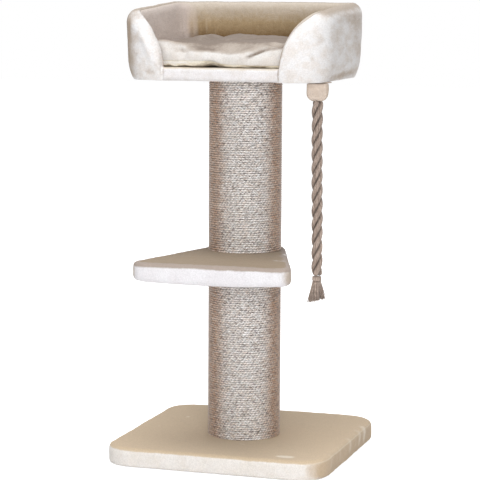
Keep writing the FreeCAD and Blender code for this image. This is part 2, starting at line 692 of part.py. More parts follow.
def write_parts():
    """Write one STEP file for each sub-part."""
    os.makedirs("parts", exist_ok=True)
    pieces = {
        "base_board": make_base_board(),
        "base_cover": make_base_cover(),
        "base_washer": make_washer(BASE_WASHER_Z),
        "base_bolt": make_bolt(BASE_WASHER_Z, True),
        "lower_tube": make_tube(BASE_TOP),
        "lower_foot_disc": make_disc(FOOT_DISC_LEVELS[0], False),
        "lower_head_disc": make_disc(HEAD_DISC_LEVELS[0], True),
        "lower_winding": make_winding(BASE_TOP),
        "tee_nuts": make_tee_nuts(),
        "shelf_board": make_shelf_board(),
        "shelf_cover": make_shelf_cover(),
        "shelf_stud": make_shelf_stud(),
        "upper_tube": make_tube(SHELF_TOP),
        "upper_foot_disc": make_disc(FOOT_DISC_LEVELS[1], False),
        "upper_head_disc": make_disc(HEAD_DISC_LEVELS[1], True),
        "upper_winding": make_winding(SHELF_TOP),
        "bed_board": make_bed_board(),
        "bed_board_cover": make_bed_board_cover(),
        "bed_washer": make_washer(BED_WASHER_Z),
        "bed_bolt": make_bolt(BED_WASHER_Z + WASHER_THICKNESS, False),
        "bed_wall_core": make_wall_core(),
        "bed_wall_cover": make_wall_cover(),
        "bed_wall_screws": Part.makeCompound(wall_screws(0)),
        "cushion": make_cushion(),
        "strap_tail": make_strap_tail(),
        "strap_screws": Part.makeCompound(tail_screws(0)),
        "toy_strap": make_strap(),
        "toy_rope": make_toy_rope(),
        "toy_rope_binding": make_binding(),
        "toy_rope_tassel": make_tassel(),
    }
    for name, shape in pieces.items():
        if not shape.isValid() or shape.Volume <= 0:
            print("check this shape:", name)
        shape.exportStep("parts/" + name + ".step")
        print(name, len(shape.Solids), "solid", round(shape.Volume / 1000, 1), "cm3")


write_parts()
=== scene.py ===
"""Looks of a cat scratching post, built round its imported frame.

All lengths are in metres, in the frame's own axes: +X to the right along the
front edge, +Y to the back, +Z up, origin at the centre of the base on the floor.
"""

import logging
import math
from dataclasses import dataclass, field
from enum import Enum
from typing import Callable

import bpy
import numpy as np
from mathutils import Matrix, Vector, noise


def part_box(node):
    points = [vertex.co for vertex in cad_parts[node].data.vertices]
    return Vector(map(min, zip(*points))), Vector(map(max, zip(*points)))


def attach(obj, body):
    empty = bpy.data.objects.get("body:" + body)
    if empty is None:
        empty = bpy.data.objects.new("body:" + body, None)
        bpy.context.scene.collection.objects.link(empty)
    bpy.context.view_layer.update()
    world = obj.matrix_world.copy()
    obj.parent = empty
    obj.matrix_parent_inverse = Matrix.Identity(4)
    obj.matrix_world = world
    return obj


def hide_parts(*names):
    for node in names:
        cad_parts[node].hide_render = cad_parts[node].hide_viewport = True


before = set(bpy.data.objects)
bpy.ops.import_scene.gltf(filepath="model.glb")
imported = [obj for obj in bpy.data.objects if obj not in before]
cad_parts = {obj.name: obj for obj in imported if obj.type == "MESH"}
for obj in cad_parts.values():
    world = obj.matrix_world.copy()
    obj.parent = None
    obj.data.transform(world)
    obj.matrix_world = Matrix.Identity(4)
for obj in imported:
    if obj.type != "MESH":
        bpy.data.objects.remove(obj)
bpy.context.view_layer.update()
LOG = logging.getLogger("scratching_post")

# Short names for type hints
Piece = bpy.types.Object
Tree = bpy.types.NodeTree
Source = bpy.types.Node | bpy.types.NodeSocket
Triple = tuple[float, float, float]
Waves = tuple[tuple[float, float], ...]

MM = 0.001
QUARTER = math.pi / 2


@dataclass(frozen=True)
class Fold:
    """A soft ridge, or a crease where the height is below zero, along a line.

    Above zero its shade makes the pile pale: wear on bare spots, painted
    highlight on folds and streaks. Below zero its shade is painted shade.
    """

    start: Triple
    end: Triple
    width: float
    height: float
    shade: float = 0.0


# Folds and creases of the bed's wall, and patches without either: a shade above zero is painted highlight,
# below zero painted shade.
WALL_FOLDS = (
    Fold((-0.212, -0.264, 1.172), (-0.168, -0.266, 1.074), 0.010, 4.0 * MM, 0.1),
    Fold((-0.188, -0.265, 1.172), (-0.152, -0.266, 1.088), 0.013, -3.0 * MM, -0.24),
    Fold((-0.231, -0.258, 1.160), (-0.216, -0.264, 1.120), 0.008, -2.0 * MM, -0.25),
    Fold((-0.240, -0.250, 1.118), (-0.212, -0.262, 1.092), 0.006, 2.2 * MM, -0.15),
    Fold((-0.238, -0.252, 1.100), (-0.208, -0.264, 1.076), 0.006, -2.2 * MM, -0.25),
    Fold((-0.258, -0.196, 1.208), (-0.212, -0.238, 1.192), 0.016, 0.0, -0.45),
    Fold((-0.252, -0.230, 1.212), (-0.254, -0.226, 1.100), 0.014, 0.0, -0.85),
    Fold((-0.206, -0.262, 1.054), (-0.166, -0.264, 1.047), 0.012, -3.0 * MM, -1.0),
    Fold((0.262, -0.235, 1.141), (0.283, -0.205, 1.145), 0.011, -1.0 * MM, -0.5),
    Fold((0.250, -0.244, 1.112), (0.262, -0.235, 1.080), 0.009, -1.0 * MM, -0.4),
    Fold((0.225, -0.256, 1.150), (0.240, -0.250, 1.128), 0.007, -1.0 * MM, -0.2),
    Fold((0.272, -0.195, 1.041), (0.281, 0.135, 1.050), 0.014, -2.5 * MM, -0.75),
    Fold((0.292, -0.090, 1.078), (0.292, 0.100, 1.092), 0.012, 3.0 * MM, 0.0),
    Fold((0.289, -0.160, 1.208), (0.289, 0.180, 1.190), 0.026, -1.0 * MM, -0.50),
    Fold((0.291, 0.020, 1.175), (0.291, 0.150, 1.085), 0.050, 0.0, -0.42),
    Fold((-0.232, 0.120, 1.205), (-0.228, 0.135, 1.120), 0.005, 3.5 * MM, 0.38),
    Fold((-0.225, 0.150, 1.207), (-0.218, 0.155, 1.120), 0.006, -3.5 * MM, -0.3),
    Fold((-0.212, 0.168, 1.207), (-0.205, 0.170, 1.120), 0.006, 3.5 * MM, 0.42),
    Fold((-0.195, 0.176, 1.207), (-0.190, 0.178, 1.120), 0.006, -3.5 * MM, -0.3),
    Fold((-0.175, 0.179, 1.207), (-0.168, 0.179, 1.120), 0.007, 3.0 * MM, 0.36),
    Fold((-0.150, 0.179, 1.190), (-0.144, 0.179, 1.120), 0.006, 2.0 * MM, 0.30),
    Fold((-0.233, -0.120, 1.204), (-0.233, -0.058, 1.140), 0.008, -2.0 * MM, -0.15),
    Fold((-0.233, -0.073, 1.209), (-0.233, -0.010, 1.135), 0.008, 2.0 * MM, 0.2),
)
# Creases of the cushion, with painted shade along them, pressed straight down into its top and straight
# back into its front.
CUSHION_TOP_FOLDS = (
    Fold((-0.115, -0.060, 0.0), (-0.075, 0.130, 0.0), 0.020, -9.0 * MM, -0.3),
    Fold((-0.070, -0.120, 0.0), (0.020, -0.100, 0.0), 0.009, -4.0 * MM, -0.5),
    Fold((0.010, -0.085, 0.0), (0.110, -0.075, 0.0), 0.008, -4.0 * MM, -0.6),
    Fold((-0.200, -0.120, 0.0), (-0.130, -0.130, 0.0), 0.008, -6.0 * MM, -0.6),
)
CUSHION_FRONT_FOLDS = (
    Fold((0.062, 0.0, 1.093), (0.116, 0.0, 1.118), 0.0055, -7.0 * MM, -1.0),
    Fold((0.106, 0.0, 1.115), (0.190, 0.0, 1.131), 0.0065, -6.0 * MM, -0.55),
    Fold((0.095, 0.0, 1.090), (0.160, 0.0, 1.108), 0.016, 3.0 * MM),
    Fold((-0.128, 0.0, 1.122), (-0.100, 0.0, 1.106), 0.006, -4.0 * MM, -0.5),
    Fold((-0.080, 0.0, 1.124), (-0.052, 0.0, 1.113), 0.005, -3.5 * MM, -0.45),
    Fold((-0.045, 0.0, 1.120), (-0.016, 0.0, 1.108), 0.006, -3.5 * MM, -0.4),
    Fold((-0.205, 0.0, 1.126), (-0.172, 0.0, 1.098), 0.007, -4.5 * MM, -0.5),
    Fold((-0.010, 0.0, 1.096), (0.035, 0.0, 1.090), 0.010, -2.5 * MM, -0.3),
)
# Upright folds with pale painted highlight on the base's right side: place back, slant, width and shade of
# each.
BASE_STREAKS = tuple(
    Fold((0.296, y, 0.058), (0.309, y - slant, 0.010), width, 2.0 * MM, shade)
    for y, slant, width, shade in (
        (-0.190, 0.030, 0.014, 0.38), (-0.105, 0.020, 0.011, 0.40), (0.005, 0.030, 0.018, 0.48),
        (0.065, 0.030, 0.010, 0.38), (0.112, 0.035, 0.016, 0.55), (0.165, 0.035, 0.018, 0.65)))
# Bare spots on top of the base and of the step, rubbed pale.
BASE_WORN = (
    Fold((0.170, -0.258, 0.052), (0.224, -0.258, 0.052), 0.011, 0.0, 1.1),
    Fold((-0.212, 0.120, 0.052), (-0.200, 0.120, 0.052), 0.010, 0.0, 0.6),
    Fold((-0.250, -0.020, 0.052), (-0.238, -0.022, 0.052), 0.006, 0.0, 0.5),
    Fold((0.030, -0.150, 0.052), (0.060, -0.165, 0.052), 0.005, 0.0, 0.5),
)
STEP_WORN = (
    Fold((0.150, -0.110, 0.566), (0.150, -0.070, 0.566), 0.012, 0.0, 1.0),
    Fold((0.145, -0.225, 0.566), (0.190, -0.225, 0.566), 0.005, 0.0, 0.7),
    Fold((-0.130, -0.352, 0.562), (0.090, -0.345, 0.562), 0.004, 0.0, 0.45),
)
# Where the cushion's filling stands up: place across and back of its middle, spread and rise.
CUSHION_LUMPS = ((0.05, 0.060, 0.120, 0.030), (-0.17, 0.08, 0.080, 0.024),
                 (-0.185, -0.165, 0.040, 0.014), (0.15, -0.16, 0.06, 0.006))


class Hand(Enum):
    """Which way a rope is laid: RIGHT climbs like the stroke of a Z."""

    LEFT = -1.0
    RIGHT = 1.0


@dataclass(frozen=True)
class Inflation:
    """How a padded piece is blown up as cloth: a cap keeps it in its place."""

    pressure: float
    looseness: float
    frames: int
    cap: float


# Helpers for objects and meshes


def make_active(obj: Piece) -> None:
    """Select one object alone, in object mode.

    Args:
        obj: The object to select and make active.
    """
    if bpy.context.object and bpy.context.object.mode != "OBJECT":
        bpy.ops.object.mode_set(mode="OBJECT")
    bpy.ops.object.select_all(action="DESELECT")
    bpy.context.view_layer.objects.active = obj
    obj.select_set(True)


def add_object(name: str, data: bpy.types.ID) -> Piece:
    """Make an object of its data and link it to the scene.

    Args:
        name: The new object's name.
        data: Its mesh, curve, lamp or camera.

    Returns:
        The object.
    """
    obj = bpy.data.objects.new(name, data)
    bpy.context.scene.collection.objects.link(obj)
    return obj


def settle(obj: Piece) -> None:
    """Move an object's place, turn and scale into its mesh."""
    make_active(obj)
    bpy.ops.object.transform_apply(location=True, rotation=True, scale=True)


def add_block(name: str, low: Vector, high: Vector) -> Piece:
    """Add a block between two corners.

    Args:
        name: The new object's name.
        low: The corner at the least x, y and z.
        high: The corner at the greatest x, y and z.

    Returns:
        The block.
    """
    bpy.ops.mesh.primitive_cube_add(size=1, location=(low + high) / 2, scale=high - low)
    block = bpy.context.object
    block.name = name
    settle(block)
    return block


def apply_modifier(obj: Piece, kind: str, **settings: object) -> None:
    """Add one modifier with its settings and apply it.

    Args:
        obj: The piece to change.
        kind: Blender's name of the modifier's type.
        settings: The modifier's own properties.
    """
    make_active(obj)
    modifier = obj.modifiers.new(kind.title(), kind)
    for name, value in settings.items():
        setattr(modifier, name, value)
    bpy.ops.object.modifier_apply(modifier=modifier.name)


def soften(obj: Piece, mesh_size: float, rounds: int) -> None:
    """Give a piece an even mesh and smooth it, as a cover lies over foam."""
    apply_modifier(obj, "REMESH", mode="VOXEL", voxel_size=mesh_size)
    apply_modifier(obj, "SMOOTH", factor=0.5, iterations=rounds)


def select_edges(obj: Piece, wanted: Callable[[Vector, Vector], bool]) -> None:
    """Leave edit mode on with those edges selected whose two ends pass a test.

    Args:
        obj: The piece, already active.
        wanted: Takes the two ends of an edge and says whether it is meant.
    """
    bpy.ops.object.mode_set(mode="EDIT")
    bpy.ops.mesh.select_mode(type="EDGE")
    bpy.ops.mesh.select_all(action="DESELECT")
    bpy.ops.object.mode_set(mode="OBJECT")
    places = [vertex.co for vertex in obj.data.vertices]
    for edge in obj.data.edges:
        edge.select = wanted(places[edge.vertices[0]], places[edge.vertices[1]])
    bpy.ops.object.mode_set(mode="EDIT")


def bevel_selected(offset: float, segments: int) -> None:
    """Round the selected edges and go back to object mode.

    Args:
        offset: How far from each edge the rounding starts.
        segments: How many faces each rounding is made of.
    """
    bpy.ops.mesh.bevel(offset=offset, offset_type="OFFSET", segments=segments, profile=0.5,
                       affect="EDGES", clamp_overlap=True)
    bpy.ops.object.mode_set(mode="OBJECT")


def mesh_piece(name: str, points: np.ndarray, faces: list[tuple[int, ...]]) -> Piece:
    """Make an object from points and faces, at the origin.

    Args:
        name: The piece's name.
        points: One row of three coordinates for each point.
        faces: Point numbers of each face, counter-clockwise from outside.

    Returns:
        The new object, in the scene.
    """
    mesh = bpy.data.meshes.new(name)
    mesh.from_pydata([tuple(point) for point in points], [], faces)
    mesh.update()
    return add_object(name, mesh)


def turn_outwards(obj: Piece) -> None:
    """Merge doubled points and make every face look outwards.

    Args:
        obj: The piece to mend.
    """
    make_active(obj)
    bpy.ops.object.mode_set(mode="EDIT")
    bpy.ops.mesh.select_all(action="SELECT")
    bpy.ops.mesh.remove_doubles(threshold=0.01 * MM)
    bpy.ops.mesh.normals_make_consistent(inside=False)
    bpy.ops.object.mode_set(mode="OBJECT")


def smooth_shade(obj: Piece) -> None:
    """Shade a piece smooth all over."""
    make_active(obj)
    bpy.ops.object.shade_smooth()


def dress(obj: Piece, finish: "Plush | LaidRope") -> None:
    """Give a piece its material and shade it smooth."""
    obj.data.materials.append(finish.material())
    smooth_shade(obj)


def read_rows(parts: bpy.types.bpy_prop_collection, name: str) -> np.ndarray:
    """Read one vector of each of a mesh's parts as an array of rows.

    Args:
        parts: The mesh's points, faces or corners.
        name: Which of their vectors is read.

    Returns:
        One row of three numbers for each part.
    """
    flat = np.empty(len(parts) * 3)
    parts.foreach_get(name, flat)
    return flat.reshape(-1, 3)


def points_of(obj: Piece) -> np.ndarray:
    """Return the places of a mesh's points as an array of rows."""
    return read_rows(obj.data.vertices, "co")


def normals_of(obj: Piece) -> np.ndarray:
    """Return the normals of a mesh's points as an array of rows."""
    return read_rows(obj.data.vertices, "normal")


def place_points(obj: Piece, points: np.ndarray) -> None:
    """Write new places for a mesh's points."""
    obj.data.vertices.foreach_set("co", points.ravel())
    obj.data.update()


def lift_points(obj: Piece, lift: np.ndarray) -> None:
    """Move each of a mesh's points outwards along its normal."""
    place_points(obj, points_of(obj) + normals_of(obj) * lift[:, None])


def mark_points(obj: Piece, name: str, values: np.ndarray) -> None:
    """Keep one number for each point as an attribute that a material reads."""
    attribute = obj.data.attributes.get(name) or obj.data.attributes.new(name, "FLOAT", "POINT")
    attribute.data.foreach_set("value", values.astype(np.float32))


def read_marks(obj: Piece, name: str) -> np.ndarray:
    """Return the numbers that mark_points has kept.

    Args:
        obj: The piece that carries them.
        name: The name they were kept under.

    Returns:
        One number for each point.
    """
    values = np.empty(len(obj.data.vertices), np.float32)
    obj.data.attributes[name].data.foreach_get("value", values)
    return values


def bell(distance: np.ndarray, width: float) -> np.ndarray:
    """Return 1 at no distance, falling off softly over a width."""
    return np.exp(-(distance / width) ** 2)


def soft_noise(points: np.ndarray, size: float, shift: float = 0.0) -> np.ndarray:
    """Smooth noise from -1 to 1 at each point.

    Args:
        points: Places as rows.
        size: Distance over which the noise changes.
        shift: Moves the pattern, so that two noises differ.

    Returns:
        One value for each point.
    """
    offset = Vector((shift, 2 * shift, -shift))
    return np.array([noise.noise(Vector(point) / size + offset) for point in points])


def ripple(obj: Piece, sizes: Waves, shift: float = 0.0) -> None:
    """Raise and lower a surface along its normals by noises of several sizes.

    Args:
        obj: The piece.
        sizes: Pairs of the noise's size and its height.
        shift: Moves all the patterns.
    """
    points = points_of(obj)
    lift_points(obj, sum(height * soft_noise(points, size, shift) for size, height in sizes))


def crumple(obj: Piece, sizes: Waves, shift: float = 0.0,
            crease_share: float = 0.25, sharpness: float = 1.5) -> None:
    """Pinch a surface into soft wrinkles: rounded fields with creases between them.

    Args:
        obj: The piece.
        sizes: Pairs of the wrinkles' size and their depth.
        shift: Moves all the patterns.
        crease_share: How much of the noise's range a crease takes.
        sharpness: Power that draws a crease to a narrow bottom.
    """
    points = points_of(obj)
    lift = np.zeros(len(points))
    for size, depth in sizes:
        field_height = np.minimum(np.abs(soft_noise(points, size, shift)) / crease_share, 1.0)
        lift -= depth * (1 - field_height) ** sharpness
    lift_points(obj, lift)


def press_folds(obj: Piece, folds: tuple[Fold, ...], where: np.ndarray | float = 1.0,
                seen: Triple = (1.0, 1.0, 1.0)) -> np.ndarray:
    """Press ridges and creases into a surface, each fading at its two ends.

    Args:
        obj: The piece.
        folds: The folds' lines, widths, heights and shades.
        where: 1 for each point that the folds reach, else 0.
        seen: 1 for each axis along which distances from a fold count, else 0.

    Returns:
        How pale each point is made, as wear on bare spots and as painted highlight on folds; below zero,
        its painted shade.
    """
    points = points_of(obj)
    lift, shade = np.zeros(len(points)), np.zeros(len(points))
    kept = np.array(seen)
    for fold in folds:
        start, end = np.array(fold.start) * kept, np.array(fold.end) * kept
        run = end - start
        share = (points * kept - start) @ run / (run @ run)
        nearest = start + np.clip(share, 0, 1)[:, None] * run
        gap = np.linalg.norm(points * kept - nearest, axis=1)
        fade = np.sqrt(np.sin(np.clip(share, 0.02, 0.98) * math.pi))
        shape = bell(gap, fold.width) * fade * where
        lift += fold.height * shape
        shade += fold.shade * shape
    lift_points(obj, lift)
    return shade


def mark_facing(obj: Piece, reach: float) -> None:
    """Keep how far each point faces up and aside, evened out over a distance, for the plush's painted
    shade.

    Args:
        obj: The piece, with an even mesh.
        reach: Distance over which the pile turns from one way to the next.
    """
    normals = normals_of(obj)
    ends = np.empty(len(obj.data.edges) * 2, int)
    obj.data.edges.foreach_get("vertices", ends)
    first, second = ends.reshape(-1, 2).T
    points = points_of(obj)
    edge = float(np.median(np.linalg.norm(points[first] - points[second], axis=1)))
    near = np.concatenate([first, second])
    far = np.concatenate([second, first])
    shared = np.maximum(np.bincount(near, minlength=len(points)), 1)
    for _ in range(math.ceil(4 * (reach / edge) ** 2)):
        total = np.stack([np.bincount(near, normals[far, axis], len(points)) for axis in range(3)], axis=1)
        normals = (normals + total / shared[:, None]) / 2
    mark_points(obj, "upward", normals[:, 2])
    mark_points(obj, "aside", normals[:, 0])


def inflate(obj: Piece, plan: Inflation) -> None:
    """Blow a closed piece up as cloth and keep each point near its start.

    Args:
        obj: The piece, with an even mesh.
        plan: Pressure, looseness, frames and the cap.
    """
    start = points_of(obj)
    make_active(obj)
    modifier = obj.modifiers.new("Cloth", "CLOTH")
    cloth = modifier.settings
    cloth.use_pressure = True
    cloth.uniform_pressure_force = plan.pressure
    cloth.shrink_min = -plan.looseness
    cloth.quality = 6
    cloth.mass = 0.2
    cloth.bending_stiffness = 0.3
    cloth.tension_stiffness = 12.0
    cloth.compression_stiffness = 12.0
    cloth.effector_weights.gravity = 0.0
    scene = bpy.context.scene
    for step in range(1, plan.frames + 1):
        scene.frame_set(step)
    baked = obj.evaluated_get(bpy.context.evaluated_depsgraph_get())
    moved = points_of(baked) - start
    obj.modifiers.remove(modifier)
    scene.frame_set(1)
    length = np.linalg.norm(moved, axis=1)
    share = np.where(length > plan.cap, plan.cap / np.maximum(length, 1e-9), 1.0)
    place_points(obj, start + moved * share[:, None])


def ride_on(obj: Piece, body: str, slot: str, *nodes: str) -> None:
    """Make a piece ride on a body and stand for its nodes.

    Args:
        obj: The piece.
        body: The body that carries it.
        slot: The slot of its material; not used.
        nodes: The nodes of the solids that it replaces.
    """
    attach(obj, body)
    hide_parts(*nodes)
    LOG.info("%s: %d faces", obj.name, len(obj.data.polygons))


# Helpers for tubes


def lengths_along(line: np.ndarray) -> np.ndarray:
    """Return how far along a line each of its points lies."""
    return np.concatenate([[0], np.cumsum(np.linalg.norm(np.diff(line, axis=0), axis=1))])


def read_line(line: np.ndarray, spots: np.ndarray) -> np.ndarray:
    """Return the points that lie so far along a line."""
    along = lengths_along(line)
    return np.stack([np.interp(spots, along, line[:, axis]) for axis in range(3)], axis=1)


def map_uv(obj: Piece, corners: np.ndarray) -> None:
    """Give each corner of a rope's faces its metres along the rope and turns round it."""
    layer = obj.data.uv_layers.new(name="along")
    layer.data.foreach_set("uv", corners.astype(np.float32).ravel())


def tube(lines: list[np.ndarray], radii: list[np.ndarray], sides: int, name: str) -> Piece:
    """Make closed round tubes along lines, with a UV map in metres and turns.

    Args:
        lines: Points of each tube's centre line.
        radii: Radius at each of those points.
        sides: Sides of a tube's section.
        name: The piece's name.

    Returns:
        One object with all the tubes; U runs along them, V once round.
    """
    points, faces, uvs = [], [], []
    angles = np.arange(sides) * math.tau / sides
    for line, radius in zip(lines, radii):
        base = len(points)
        tangents = np.gradient(line, axis=0)
        tangents /= np.linalg.norm(tangents, axis=1)[:, None]
        along = lengths_along(line)
        side = np.cross(tangents[0], (0.0, 1.0, 0.0))
        for i, tangent in enumerate(tangents):
            side = side - tangent * (side @ tangent)
            side /= np.linalg.norm(side)
            up = np.cross(tangent, side)
            ring = np.outer(np.cos(angles), side) + np.outer(np.sin(angles), up)
            points.extend(line[i] + ring * radius[i])
        count = len(line)
        for i in range(count - 1):
            for j in range(sides):
                near, far = base + i * sides, base + (i + 1) * sides
                faces.append((near + j, near + (j + 1) % sides, far + (j + 1) % sides, far + j))
                low, high = j / sides, (j + 1) / sides
                uvs.extend([(along[i], low), (along[i], high), (along[i + 1], high), (along[i + 1], low)])
        first, last = base, base + (count - 1) * sides
        faces.append(tuple(first + j for j in reversed(range(sides))))
        uvs.extend([(along[0], 0.0)] * sides)
        faces.append(tuple(last + j for j in range(sides)))
        uvs.extend([(along[-1], 0.0)] * sides)
    obj = mesh_piece(name, np.array(points), faces)
    map_uv(obj, np.array(uvs))
    return obj


def round_tips(line: np.ndarray, radius: float, steps: int = 3, first_share: float = 0.3,
               tip_share: float = 0.12) -> tuple[np.ndarray, np.ndarray]:
    """Add closing points at both ends of a line, so that its tube ends round.

    Args:
        line: Points of the centre line, its tips within its own length.
        radius: The tube's radius.
        steps: Closing points at each end.
        first_share: Where in the first step the outermost point lies.
        tip_share: Radius left at that point, as a share of the tube's.

    Returns:
        The line's points and the radius at each.
    """
    along = lengths_along(line)
    total = along[-1]
    closing = [radius * (1 - math.cos(QUARTER * (i + first_share) / steps)) for i in range(steps)]
    inner = along[(along > radius) & (along < total - radius)]
    far_closing = [total - gap for gap in reversed(closing)]
    spots = np.concatenate([closing, [radius], inner, [total - radius], far_closing])
    spots = np.unique(np.round(spots, 7))
    depth = np.minimum(np.minimum(spots, total - spots), radius)
    radii = np.sqrt(np.maximum(radius ** 2 - (radius - depth) ** 2, (tip_share * radius) ** 2))
    return read_line(line, spots), radii


# Materials


def hex_colour(code: str) -> tuple[float, float, float, float]:
    """Turn an sRGB hex code into a linear colour.

    Args:
        code: A hash sign and six hex digits.

    Returns:
        Red, green, blue and full alpha.
    """
    channels = [int(code[i:i + 2], 16) / 255 for i in (1, 3, 5)]
    linear = [c / 12.92 if c <= 0.04045 else ((c + 0.055) / 1.055) ** 2.4 for c in channels]
    return (*linear, 1.0)


def per_metre(millimetres: float) -> float:
    """Texture scale whose features are about so many millimetres wide."""
    return 1 / (millimetres * MM)


def add_node(tree: Tree, kind: str, settings: dict | None = None,
             links: dict[str | int, Source] | None = None) -> bpy.types.Node:
    """Add one node with its settings and its incoming links.

    Args:
        tree: The material's node tree.
        kind: Blender's name of the node's type, past ShaderNode.
        settings: Values of inputs, by name or number, or of the node's properties. A ramp's
            stops are pairs of a place and a hex code.
        links: What feeds each input, by name or number: a socket, or a node's first output in use.

    Returns:
        The new node.
    """
    node = tree.nodes.new("ShaderNode" + kind)
    for name, value in (settings or {}).items():
        if name == "stops":
            ramp = node.color_ramp
            while len(ramp.elements) < len(value):
                ramp.elements.new(1.0)
            for element, (position, colour) in zip(ramp.elements, value):
                element.position = position
                element.color = hex_colour(colour)
        elif isinstance(name, int) or name in node.inputs:
            node.inputs[name].default_value = value
        else:
            setattr(node, name, value)
    for name, source in (links or {}).items():
        if isinstance(source, bpy.types.Node):
            source = next(output for output in source.outputs if output.enabled)
        tree.links.new(node.inputs[name], source)
    return node


def new_material(name: str) -> tuple[bpy.types.Material, Tree]:
    """Make a material with an empty node tree.

    Args:
        name: The material's name.

    Returns:
        The material and its tree.
    """
    material = bpy.data.materials.new(name)
    material.use_nodes = True
    material.node_tree.nodes.clear()
    return material, material.node_tree


def stretched_noise(tree: Tree, place: Source, sizes_mm: Triple,
                    detail: float, roughness: float) -> bpy.types.Node:
    """Noise whose features are so many millimetres long in each direction.

    Args:
        tree: The material's node tree.
        place: Where a point lies in the piece.
        sizes_mm: Real length of a feature along each axis.
        detail: Finer levels of the noise.
        roughness: How strong those levels are.

    Returns:
        The noise.
    """
    scale = tuple(per_metre(size) for size in sizes_mm)
    stretched = add_node(tree, "Mapping", {"Scale": scale}, {"Vector": place})
    return add_node(tree, "TexNoise", {"Scale": 1.0, "Detail": detail, "Roughness": roughness},
                    {"Vector": stretched})


def tint_where(tree: Tree, colour: Source, value: Source,
               start: float, end: float, tint: str, share: float = 1.0) -> Source:
    """Lay a tint over a colour, more and more where a value goes from start to end.

    Args:
        tree: The material's node tree.
        colour: The colour so far.
        value: Output that says where the tint lies.
        start: Value at which the tint starts to show.
        end: Value at which all of its share shows.
        tint: Hex code of the tint.
        share: Most of the tint that shows.

    Returns:
        The new colour's output.
    """
    limits = {"From Min": start, "From Max": end, "To Max": share}
    amount = add_node(tree, "MapRange", {"interpolation_type": "SMOOTHSTEP", **limits}, {"Value": value})
    return add_node(tree, "Mix", {"data_type": "RGBA", 7: hex_colour(tint)}, {0: amount, 6: colour})


def finish_surface(tree: Tree, shader: bpy.types.Node) -> None:
    """Join a shader to the material's output."""
    add_node(tree, "OutputMaterial", {}, {"Surface": shader})


@dataclass(frozen=True)
class Lining:
    """Cloth past a seam: painted shade makes it darker from its rim to its foot, and where it faces aside
    it has its own colour of painted light.
    """

    # Rim, middle and foot step the lining's painted shade from its rim to its foot; the next colour is
    # painted light where it faces aside.
    rim: str
    middle: str
    foot: str
    aside: str
    seam: str


